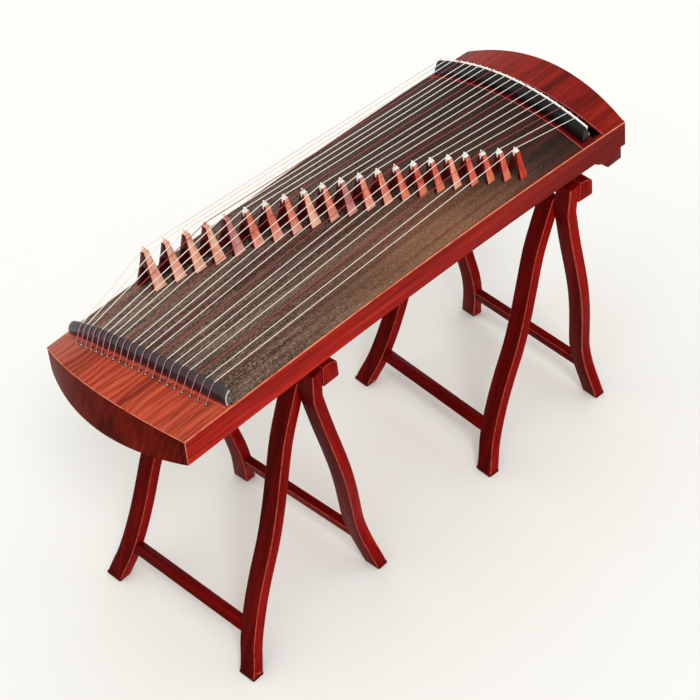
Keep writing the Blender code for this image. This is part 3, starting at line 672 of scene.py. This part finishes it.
def make_plates(mats):
    plate_piece("soundboard_shown", lambda y: seam_x(y) + 0.0003, lambda y: SOUND_END_X - 0.0006,
                mats["sound"], "sound_box", "soundboard", 14)
    plate_piece("tail_plate_shown", lambda y: tail_x(y, 1.0) + 0.0016,
                lambda y: seam_x(y) - 0.0003, mats["plate"], "sound_box",
                "tail_plate", 4)
    plate_piece("nut_deck_shown", lambda y: SOUND_END_X + 0.0010, lambda y: DECK_END_X,
                mats["deck"], "sound_box", "nut_deck", 3)
    plate_piece("box_lid_shown", lambda y: LID_X + 0.0012, lambda y: head_x(y) - 0.0012,
                mats["lid"], "pin_box_lid", "box_lid", 4)


def cross_line(name, x_at, width, deep, reach, mats, body):
    """A thin pink line across the arched top, its own width along X."""
    rings = []
    for y in across(reach, 60):
        x = x_at(y)
        z = top_z(x, y)
        rings.append([(x, y, z - deep), (x + width, y, z - deep), (x + width, y, z + LINE_LIFT * 0.5),
                      (x + 0.5 * width, y, z + LINE_LIFT), (x, y, z + LINE_LIFT * 0.5)])
    ring_piece(name, rings, mats["pink"], body, 50.0)


def make_cross_lines(mats):
    cross_line("tail_pink_line", lambda y: bar_x(y) - 0.0058, 0.0019, 0.0004, BAR_HALF_LEN, mats,
               "sound_box")
    # The line at the lid's front is a painted highlight on the lid's front edge.
    for name, x, body in (("soundboard_end_line", SOUND_END_X - 0.0004, "sound_box"),
                          ("lid_front_highlight", LID_X, "pin_box_lid")):
        cross_line(name, lambda y: x, 0.0012, 0.0010, half_width(x) - ARRIS_W, mats, body)


def make_side(sign, name, mats):
    """Side board with its top lowered under the veneer; its rounded edges take the pale painted highlight,
    and its tail end takes the darker end board wood, a painted shade.
    """
    rings = []
    for k in range(SIDE_STEPS + 1):
        ring = []
        for depth, at_top in ((0.0, 0.0), (SIDE_T, 0.0), (SIDE_T, 1.0), (0.0, 1.0)):
            x0 = tail_x(HALF_TAIL - depth, at_top) + 0.0003
            x1 = head_x(HALF_HEAD - depth) - 0.0003
            x = x0 + (x1 - x0) * (k / SIDE_STEPS)
            y = half_width(x) - depth
            z = top_z(x, y) - SKIN_T - 0.0002 if at_top else base_z(x)
            ring.append((x, sign * y, z))
        rings.append(ring)
    bm = bmesh.new()
    add_rings(bm, rings)
    # The rounded edges take the pale line finish, a painted highlight.
    bevel_edges(bm, 0.0007, 30.0, 1)
    # The tail-end face takes the darker end board wood, a painted shade.
    for face in bm.faces:
        centre = face.calc_center_median()
        if centre.x < TAIL_X + 0.0008 and abs(centre.y) < HALF_TAIL - 0.0012:
            face.material_index = 2
    finish_piece(name + "_shown", bm, [mats["side"], mats["line"], mats["end"]], "sound_box",
                 30.0, (name,))


def make_arris(sign, name, x0, x1, mats, body):
    """A painted highlight: a pale line along a stretch of a long top edge."""
    profile = ((0.0, -SKIN_T), (0.0, -0.0004), (0.0005, 0.0001), (0.0012, 0.0004),
               (ARRIS_W - 0.0001, 0.0006), (ARRIS_W - 0.0001, -SKIN_T))
    rings = []
    for k in range(SIDE_STEPS + 1):
        x = x0 + (x1 - x0) * k / SIDE_STEPS
        y = half_width(x)
        z = EDGE_Z + rise(x)
        rings.append([(x, sign * (y - d), z + h) for d, h in profile])
    ring_piece(name, rings, mats["line"], body, 50.0)


def make_sides(mats):
    for sign, name in ((-1.0, "near_side"), (1.0, "far_side")):
        make_side(sign, name, mats)
        make_arris(sign, name + "_arris", tail_x(HALF_TAIL, 1.0) + 0.0004, LID_X + 0.0008, mats,
                   "sound_box")
        make_arris(sign, name + "_lid_arris", LID_X + 0.0012, HEAD_X - 0.0012, mats, "pin_box_lid")


def make_tail_board(mats):
    """Bowed end board, leaning a little, with a lip up round the tail plate's end."""
    rings = []
    for y in across(inner_half(-0.62), 48):
        low = tail_x(y, 0.0)
        high = tail_x(y, 1.0)
        z = top_z(high, y)
        face = [(low + (high - low) * t, y, BASE_Z + (z - 0.0012 - BASE_Z) * t)
                for t in (0.0, 0.33, 0.66, 1.0)]
        rings.append(face + [(high + 0.0014, y, z - 0.0012), (high + 0.0014, y, z - TOP_T - GAP),
                             (high + END_T, y, z - TOP_T - GAP), (low + END_T, y, BASE_Z)])
    bm = bmesh.new()
    add_rings(bm, rings)
    bevel_edges(bm, 0.0007, 40.0)
    finish_piece("tail_board_shown", bm, [mats["end"]], "sound_box", 35.0, ("tail_board",))


def make_head_board(mats):
    """Bowed end board, with a lip up round the lid's end."""
    rings = []
    for y in across(inner_half(0.62), 48):
        x = head_x(y)
        z = top_z(x, y)
        rings.append([(x, y, BASE_Z), (x, y, z - 0.0016), (x - 0.0012, y, z - 0.0002),
                      (x - 0.0012, y, z - TOP_T - GAP), (x - HEAD_T, y, z - TOP_T - GAP),
                      (x - HEAD_T, y, BASE_Z)])
    bm = bmesh.new()
    add_rings(bm, rings)
    bevel_edges(bm, 0.0007, 50.0)
    finish_piece("head_board_shown", bm, [mats["head"]], "sound_box", 35.0, ("head_board",))


def make_tail_arris(mats):
    """A painted highlight: the pale line round the tail's top edge and up its two corners."""
    bm = bmesh.new()
    path = []
    for y in across(HALF_TAIL - 0.0010, 48):
        x = tail_x(y, 1.0)
        path.append((x + 0.0009, y, top_z(x, y) - 0.0007))
    add_rings(bm, tube_rings(path, 0.0009))
    for sign in (-1.0, 1.0):
        y = sign * (HALF_TAIL - 0.0009)
        low = (tail_x(HALF_TAIL, 0.0) + 0.0009, y, BASE_Z + 0.0006)
        high = (tail_x(HALF_TAIL, 1.0) + 0.0009, y, EDGE_Z - 0.0006)
        add_rings(bm, tube_rings([low, high], 0.0010))
    finish_piece("tail_arris", bm, [mats["line"]], "sound_box", 50.0)


def make_rear_nut(mats):
    """A bar curved in plan, lower toward its far end, with rounded ends."""
    profile = smooth_profile(BAR_PROFILE)
    rings = []
    for v in across(1.0, 90):
        y = v * (BAR_HALF_LEN if v < 0.0 else BAR_FAR_LEN)
        x0 = bar_x(y)
        ends = min(1.0, (1.0 - abs(v)) * BAR_HALF_LEN / BAR_ROUNDING)
        tuck = BAR_TUCK * (1.0 - math.sqrt(max(0.0, 1.0 - (1.0 - ends) ** 2)))
        ring = []
        for dx, h in profile:
            toward = Vector((BAR_MIDDLE_X - dx, BAR_ROUND_Z - h)).normalized() * tuck
            z = top_z(x0 + dx, y) + max((h + toward.y) * bar_low(y), GAP)
            ring.append((x0 + dx + toward.x, y, z))
        rings.append(ring)
    ring_piece("rear_nut_shown", rings, mats["black"], "sound_box", 42.0, ("rear_nut",))


def make_rear_nut_end(sign, label, mats):
    """The inlaid end face of the rear nut, with a pale crescent on its tailward half."""
    y = sign * (BAR_HALF_LEN if sign < 0.0 else BAR_FAR_LEN)
    x0 = bar_x(y)
    profile = smooth_profile(BAR_PROFILE)
    middle = Vector((BAR_MIDDLE_X, BAR_MIDDLE_Z * bar_low(y)))
    edge = [Vector((dx, max(h * bar_low(y), 0.0012))) for dx, h in profile]
    inset = [middle + (p - middle) * 0.74 for p in edge]
    rim = [middle + (p - middle) * 0.96 for p in edge]

    def placed(p, out):
        return (x0 + p.x, y + sign * out, top_z(x0 + p.x, y) + p.y)

    rings = [[placed(p, out) for p in inset] for out in (0.0, 0.0005)]
    ring_piece("rear_nut_end_" + label, rings, mats["sound"], "sound_box", 40.0)

    rings = []
    for (dx, _), inner, outer in zip(profile, inset, rim):
        if dx < 0.0125:
            inner = inner + (inner - middle) * 0.02
            rings.append([placed(inner, 0.0), placed(outer, 0.0), placed(outer, 0.0008),
                          placed(inner, 0.0009)])
    ring_piece("rear_nut_rim_" + label, rings, mats["rim"], "sound_box", 40.0)


def make_front_nut(mats):
    """Black bar across the top, with a step behind its crest for the saddle."""
    outline = smooth_profile(NUT_CURVE) + list(NUT_BACK)
    bm = bmesh.new()
    add_rings(bm, [[(x, y, top_z(x, y) + h) for x, h in outline] for y in across(NUT_HALF_LEN, 60)])
    bevel_edges(bm, 0.0006, 50.0)
    finish_piece("front_nut_shown", bm, [mats["nut"]], "sound_box", 40.0, ("front_nut",))


def make_saddle(mats):
    """The white strip in the front nut that the strings rest on."""
    x0 = SADDLE_X - 0.002
    x1 = SADDLE_X + 0.002
    rings = []
    for y in across(SADDLE_HALF_LEN, 60):
        z0 = top_z(x0, y)
        rings.append([(x0, y, z0 + 0.0285 + GAP), (x0, y, z0 + SADDLE_TOP - 0.0016),
                      (x0 + 0.0008, y, z0 + SADDLE_TOP - 0.0006), (x1 - 0.0006, y, z0 + SADDLE_TOP),
                      (x1, y, z0 + SADDLE_TOP - 0.0002), (x1, y, z0 + 0.0285 + GAP)])
    ring_piece("bone_saddle_shown", rings, mats["bone"], "sound_box", 60.0, ("bone_saddle",))


def make_eyelets(mats):
    """Turned ferrules on dark washers, which line the string holes of the tail plate."""
    for name, profile, mat, slot in (("eyelets", EYELET_PROFILE, "steel", "steel"),
                                     ("eyelet_washers", WASHER_PROFILE, "nut", "ebony")):
        bm = bmesh.new()
        for i in range(STRINGS):
            x, y, z = eyelet_spot(i)
            add_rings(bm, [level_circle(x, y, z + h, r) for r, h in profile])
        finish_piece(name, bm, [mats[mat]], "sound_box", 50.0)


def pin_paint(face):
    """Slot 1 for the tuning pins, which stand on the pin block."""
    centre = face.calc_center_median()
    return 1 if centre.z > PIN_BLOCK_TOP and abs(centre.y - BOX_Y) < PINS_REACH else 0


def make_windings(mats):
    """Turns of string round each tuning pin."""
    up = Vector((0.0, 0.0, 1.0))
    bm = bmesh.new()
    for i in range(STRINGS):
        px, py = pin_spot(i)
        for turn in range(WINDING_TURNS):
            z = WINDING_Z + WIRE_PITCH * turn
            rings = []
            for s in range(CIRCLE_SIDES + 1):
                a = 2.0 * math.pi * s / CIRCLE_SIDES
                out = Vector((math.cos(a), math.sin(a), 0.0))
                here = Vector((px + WINDING_R * math.cos(a), py + WINDING_R * math.sin(a),
                               z + WIRE_PITCH * s / CIRCLE_SIDES))
                rings.append([here + WIRE_R * (math.cos(b) * out + math.sin(b) * up)
                              for b in [2.0 * math.pi * q / WIRE_SIDES for q in range(WIRE_SIDES)]])
            add_rings(bm, rings)
    finish_piece("pin_windings", bm, [mats["string"]], "sound_box", 60.0)


def make_box_inside(mats):
    for name in ("near_foot", "far_foot"):
        refined(name, [mats["side"]], "sound_box", 0.0008, 20.0)
    for name in ("back_board", "brace_tail", "brace_middle", "brace_head", "box_bulkhead"):
        refined(name, [mats["inner"]], "sound_box", 0.0005)
    # The pin block is painted near-black as the shade in the slot under the lid's front.
    refined("pin_block", [mats["well"], mats["steel"]], "sound_box", paint=pin_paint)
    make_windings(mats)


# ---- strings -------------------------------------------------------------------------------
def string_material(i, mats):
    from_high = STRINGS - i
    return mats["red_string"] if from_high in RED_STRINGS else mats["string"]


def string_ends(i):
    """The way of a string up over the rear nut, and from the saddle down to its pin."""
    r = string_r(i)
    ex, ey, ez = eyelet_spot(i)
    y = bar_y(i)
    x0 = bar_x(y)
    tail = [(ex, ey, ez - 0.003), (ex, ey, ez + 0.0012)]
    tail += [(x0 + dx, y, top_z(x0 + dx, y) + h * bar_low(y)) for dx, h in OVER_REAR_NUT]
    sy = saddle_y(i)
    head = [Vector((x, sy, top_z(x, sy) + SADDLE_TOP + r + lift))
            for x, lift in ((SADDLE_X + 0.0008, GAP), (SADDLE_X + 0.0032, -0.0004))]
    px, py = pin_spot(i)
    return tail, head + [Vector((px - 0.0042, py, 0.704))]


def make_strings(mats):
    """Each string as a tail half and a head half that run to the crest of its bridge."""
    tails = bmesh.new()
    heads = bmesh.new()
    steps = 12
    for i in range(STRINGS):
        r = string_r(i)
        tail, head = string_ends(i)
        add_rings(tails, tube_rings(tail, r))
        add_rings(heads, tube_rings(head, r))
        bx, by = bridge_spot(i)
        crest = Vector((bx, by, top_z(bx, by) + bridge_height(i) + GAP + r))
        for label, start in (("tail", Vector(tail[-1])), ("head", head[0])):
            path = [start.lerp(crest, k / steps) for k in range(steps + 1)]
            name = "string_%02d_%s" % (i + 1, label)
            piece = ring_piece(name, tube_rings(path, r), string_material(i, mats), None, 60.0)
            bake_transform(piece)
    finish_piece("string_tails", tails, [mats["thread"]], "sound_box", 60.0, ("strings",))
    finish_piece("string_heads", heads, [mats["string"]], "sound_box", 60.0)


# ---- bridges -------------------------------------------------------------------------------
class Bridge:
    """Sizes of one bridge: an arch on two splayed legs, flared at the feet."""

    def __init__(self, i):
        low_share = 1.0 - share(i)
        self.name = "bridge_%02d" % (i + 1)
        self.x, self.y = bridge_spot(i)
        self.floor = top_z(self.x, self.y)
        self.height = bridge_height(i)
        self.neck = self.height - 0.0065
        self.half = 0.020 + 0.012 * low_share
        self.thick = 0.0210 + 0.0105 * low_share
        self.bare = i < BARE_TIPS

    def down(self, z):
        """1 at the feet and 0 at the neck."""
        return 1.0 - min(max(z / self.neck, 0.0), 1.0)

    def depth(self, z):
        """Half of its thickness along X."""
        return 0.5 * (0.0123 + (self.thick - 0.0123) * self.down(z) ** 1.1)

    def flank(self, z):
        """Half of its width along Y."""
        return 0.0054 + (self.half - 0.0054) * (0.80 * self.down(z) + 0.20 * self.down(z) ** 2.2)


def make_bridge_body(bridge, wood, mats):
    """Rings of eight points up to the neck; the four in the middle meet over the arch."""
    arch_top = 0.56 * bridge.height
    arch_half = 0.55 * bridge.half
    levels = [arch_top * math.sin(0.5 * math.pi * k / 9.0) for k in range(10)]
    levels += [arch_top + (bridge.neck - arch_top) * k / 5.0 for k in range(1, 6)]
    bm = bmesh.new()
    grid = {}
    for k, z in enumerate(levels):
        climb = min(z / arch_top, 1.0)
        inner = arch_half * math.sqrt(max(0.0, 1.0 - climb ** 2.2))
        for side in (-1, 1):
            x = bridge.x + side * bridge.depth(z)
            for c, dy in enumerate((-bridge.flank(z), -inner, inner, bridge.flank(z))):
                y = bridge.y + dy
                height = bridge.floor + z if k else top_z(x, y) + GAP
                grid[(k, side, c)] = bm.verts.new((x, y, height))
    last = len(levels) - 1
    for k in range(last):
        for side in (-1, 1):
            for c in (0, 2):
                bm.faces.new([grid[(k, side, c)], grid[(k, side, c + 1)],
                              grid[(k + 1, side, c + 1)], grid[(k + 1, side, c)]])
        for c in ((0, 1, 2, 3) if levels[k] < arch_top - 1e-6 else (0, 3)):
            face = bm.faces.new([grid[(k, -1, c)], grid[(k, 1, c)], grid[(k + 1, 1, c)],
                                 grid[(k + 1, -1, c)]])
            # Outer flanks (c 0 and 3) take the pale lit wood, the other faces the darker face wood:
            # painted light.
            face.material_index = 1 if c in (0, 3) else 0
    for k in (0, last):
        for c in (0, 2):
            bm.faces.new([grid[(k, -1, c)], grid[(k, -1, c + 1)], grid[(k, 1, c + 1)],
                          grid[(k, 1, c)]])
    bmesh.ops.remove_doubles(bm, verts=bm.verts, dist=1e-6)
    bmesh.ops.recalc_face_normals(bm, faces=bm.faces)
    bevel_edges(bm, 0.0007, 48.0)
    finish_piece(bridge.name + "_body", bm, [mats["b_face"], wood], bridge.name, 35.0,
                 (bridge.name,))


def add_tongues(bm, bridge):
    """The bone runs down each face of the bridge to a point."""
    for side in (-1.0, 1.0):
        points = []
        for dy, z in ((-0.0034, bridge.neck), (0.0034, bridge.neck), (0.0, bridge.neck - 0.0100)):
            for out in (-0.0004, 0.0002):
                x = bridge.x + side * (bridge.depth(z) + out)
                points.append(bm.verts.new((x, bridge.y + dy, bridge.floor + z)))
        sunk = points[0::2]
        proud = points[1::2]
        bm.faces.new(sunk)
        bm.faces.new(proud)
        for s in range(3):
            t = (s + 1) % 3
            bm.faces.new((sunk[s], sunk[t], proud[t], proud[s]))


def make_bridge_tip(bridge, wood, mats):
    """The tip narrows to a thin ridge with a notch for the string."""
    neck = bridge.neck
    top = bridge.height
    rows = ((neck + 0.0001, neck + 0.0001, 0.0052, 0.0052), (neck + 0.0028, neck + 0.0028, 0.0046, 0.0034),
            (top - 0.0008, top - 0.0008, 0.0040, 0.0017), (top + 0.0022, top - 0.0004, 0.0040, 0.0012))
    bm = bmesh.new()
    made = []
    for edge, notch, wy, wx in rows:
        ring = ((-wx, -wy, edge), (wx, -wy, edge), (wx, 0.0, notch), (wx, wy, edge), (-wx, wy, edge),
                (-wx, 0.0, notch))
        made.append([bm.verts.new((bridge.x + dx, bridge.y + dy, bridge.floor + z))
                     for dx, dy, z in ring])
    for low, high in zip(made, made[1:]):
        for s in range(6):
            t = (s + 1) % 6
            bm.faces.new((low[s], low[t], high[t], high[s]))
    bm.faces.new(made[0])
    for quad in ((0, 1, 2, 5), (5, 2, 3, 4)):
        bm.faces.new([made[-1][q] for q in quad])
    bevel_edges(bm, 0.0003, 50.0)
    if not bridge.bare:
        add_tongues(bm, bridge)
    mat = wood if bridge.bare else mats["bone"]
    finish_piece(bridge.name + "_tip", bm, [mat], bridge.name, 35.0)


def make_bridges(mats):
    for i in range(STRINGS):
        bridge = Bridge(i)
        wood = mats[BRIDGE_WOODS[i]]
        make_bridge_body(bridge, wood, mats)
        make_bridge_tip(bridge, wood, mats)


# ---- stands --------------------------------------------------------------------------------
def make_stands(mats):
    for stand in ("tail_stand", "head_stand"):
        outer_body = stand + "_outer_frame"
        for side in ("near", "far"):
            for frame_name, body, wood in (("inner", "stand_frames", "leg_in"),
                                           ("outer", outer_body, "leg_out")):
                node = "%s_%s_leg_%s" % (stand, frame_name, side)
                refined(node, [mats[wood], mats["edge"], mats[wood + "_side"]], body, 0.0005,
                        35.0, paint=leg_paint)
                make_pad(node, body, mats)
            refined("%s_pivot_pin_%s" % (stand, side), [mats["steel"]], "stand_frames",
                    0.0004, 40.0)
        # The stretchers' chamfers take the paler edge finish, a painted highlight.
        refined(stand + "_inner_stretcher", [mats["cross"], mats["edge"]], "stand_frames",
                0.0004, 35.0, paint=chamfer_paint)
        refined(stand + "_outer_stretcher", [mats["cross"], mats["edge"]], outer_body,
                0.0004, 35.0, paint=chamfer_paint)
        # The rail's near and far faces take the lit copy of the wood, painted light; its rounded edges
        # take the painted highlight.
        refined(stand + "_top_rail", [mats["cross"], mats["edge"], mats["leg_out_side"]],
                outer_body, 0.0012, 30.0, edge_slot=1, paint=leg_paint)
        make_seat(stand, outer_body, mats)


def make_seat(stand, body, mats):
    """A thin strip on the rail's raised part, which the box's curved underside lies on."""
    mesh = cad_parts[stand + "_top_rail"].data
    z_top = max(v.co.z for v in mesh.vertices)
    top = [v.co for v in mesh.vertices if v.co.z > z_top - 0.004]
    centre = sum(top, Vector()) / len(top)
    bm = bmesh.new()
    for point in top:
        inward = Vector((centre.x - point.x, centre.y - point.y, 0.0)).normalized() * 0.0008
        for z in (point.z - 0.0004, point.z + 0.0025):
            bm.verts.new((point.x + inward.x, point.y + inward.y, z))
    made = bmesh.ops.convex_hull(bm, input=bm.verts)
    spare = [v for v in made["geom_interior"] if isinstance(v, bmesh.types.BMVert)]
    bmesh.ops.delete(bm, geom=spare, context="VERTS")
    finish_piece(stand + "_seat", bm, [mats["cross"]], body, 30.0, shift=False)


def chamfer_paint(face):
    """Slot 1 for the narrow chamfers along the arrises of a stretcher, which take a paler painted
    highlight.
    """
    tilted = 0.30 < max(abs(face.normal.x), abs(face.normal.z)) < 0.92
    longest = max(e.calc_length() for e in face.edges)
    return 1 if tilted and face.calc_area() < 0.0035 * longest else 0


def leg_paint(face):
    """Slot 1 for the chamfers of a leg, which take a painted highlight; slot 2 for its near and far faces,
    which take the lit copy of the wood, painted light.
    """
    sideways = abs(face.normal.y)
    if sideways > 0.90:
        return 2
    longest = max(e.calc_length() for e in face.edges)
    return 1 if sideways > 0.40 and face.calc_area() < 0.0045 * longest else 0


def make_pad(node, body, mats):
    """A dark pad under the foot, kept within the width of the CAD model."""
    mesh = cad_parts[node].data
    low = [v.co for v in mesh.vertices if v.co.z < 0.0005]
    centre = Vector((sum(p.x for p in low) / len(low), sum(p.y for p in low) / len(low), 0.0))
    ring = sorted({(round(p.x, 5), round(p.y, 5)) for p in low},
                  key=lambda q: math.atan2(q[1] - centre.y, q[0] - centre.x))
    rings = []
    for z, grow in ((0.0, -0.0004), (0.0006, 0.0003), (0.0050, 0.0003), (0.0056, -0.0002)):
        row = []
        for x, y in ring:
            out = (Vector((x, y, 0.0)) - centre).normalized() * grow
            edge = min(max(y + out.y, CAD_BOX[0].y), CAD_BOX[1].y)
            row.append((x + out.x, edge, z))
        rings.append(row)
    ring_piece(node + "_pad", rings, mats["pad"], body, 40.0, shift=False)


# ---- stage ---------------------------------------------------------------------------------
CAMERA_SPOT = (-1.8881, -2.2685 + BOX_Y, 3.0903)
CAMERA_HEADING = 0.88186      # radians from +X toward +Y
CAMERA_DROP = 0.74034         # radians below the horizon
CAMERA_ROLL = -0.14361
LENS, SENSOR = 94.355, 36.0   # millimetres
FLOOR_REACH, FLOOR_Z = 30.0, -0.0005
WORLD_STRENGTH = 0.89
KEY_TOWARD, KEY_STRENGTH, KEY_SPREAD = (0.26, 0.60, -0.76), 0.78, 16.0   # spread in degrees


def make_camera():
    ahead = Vector((math.cos(CAMERA_DROP) * math.cos(CAMERA_HEADING),
                    math.cos(CAMERA_DROP) * math.sin(CAMERA_HEADING), -math.sin(CAMERA_DROP)))
    level = ahead.cross(Vector((0.0, 0.0, 1.0))).normalized()
    above = level.cross(ahead)
    right = math.cos(CAMERA_ROLL) * level + math.sin(CAMERA_ROLL) * above
    up = -math.sin(CAMERA_ROLL) * level + math.cos(CAMERA_ROLL) * above
    data = bpy.data.cameras.new("camera")
    data.lens = LENS
    data.sensor_width = SENSOR
    data.clip_end = 60.0
    camera = bpy.data.objects.new("camera", data)
    COLLECTION.objects.link(camera)
    camera.matrix_world = Matrix(((right.x, up.x, -ahead.x, CAMERA_SPOT[0]),
                                  (right.y, up.y, -ahead.y, CAMERA_SPOT[1]),
                                  (right.z, up.z, -ahead.z, CAMERA_SPOT[2]),
                                  (0.0, 0.0, 0.0, 1.0)))
    bpy.context.scene.camera = camera


def make_sun(name, toward, strength, spread):
    """A soft far light that shines along the given direction."""
    data = bpy.data.lights.new(name, "SUN")
    data.energy = strength
    data.angle = math.radians(spread)
    sun = bpy.data.objects.new(name, data)
    COLLECTION.objects.link(sun)
    sun.rotation_mode = "QUATERNION"
    sun.rotation_quaternion = Vector(toward).to_track_quat("-Z", "Y")


def make_floor():
    mesh = bpy.data.meshes.new("floor")
    corners = ((-1.0, -1.0), (1.0, -1.0), (1.0, 1.0), (-1.0, 1.0))
    mesh.from_pydata([(FLOOR_REACH * x, FLOOR_REACH * y, FLOOR_Z) for x, y in corners], [],
                     [(0, 1, 2, 3)])
    floor = bpy.data.objects.new("floor", mesh)
    COLLECTION.objects.link(floor)
    n = Nodes("floor_paint", 0.9, 0.0)
    color = n.ramp(n.noise(n.mapped((0.8, 0.8, 0.8)), 3.0),
                   ((0.3, (246, 246, 242)), (0.7, (249, 249, 245))))
    mesh.materials.append(n.done(color))


def make_light():
    world = bpy.data.worlds.new("studio")
    bpy.context.scene.world = world
    world.use_nodes = True
    background = world.node_tree.nodes["Background"]
    background.inputs["Color"].default_value = (1.0, 0.995, 0.98, 1.0)
    background.inputs["Strength"].default_value = WORLD_STRENGTH
    make_sun("key", KEY_TOWARD, KEY_STRENGTH, KEY_SPREAD)
    bpy.context.scene.view_settings.view_transform = "Standard"


def main():
    make_camera()
    make_floor()
    make_light()
    mats = make_materials()
    make_plates(mats)
    make_sides(mats)
    make_box_inside(mats)
    make_tail_board(mats)
    make_head_board(mats)
    make_tail_arris(mats)
    make_rear_nut(mats)
    make_rear_nut_end(-1.0, "near", mats)
    make_rear_nut_end(1.0, "far", mats)
    make_front_nut(mats)
    make_saddle(mats)
    make_eyelets(mats)
    make_cross_lines(mats)
    make_strings(mats)
    make_bridges(mats)
    make_stands(mats)


main()
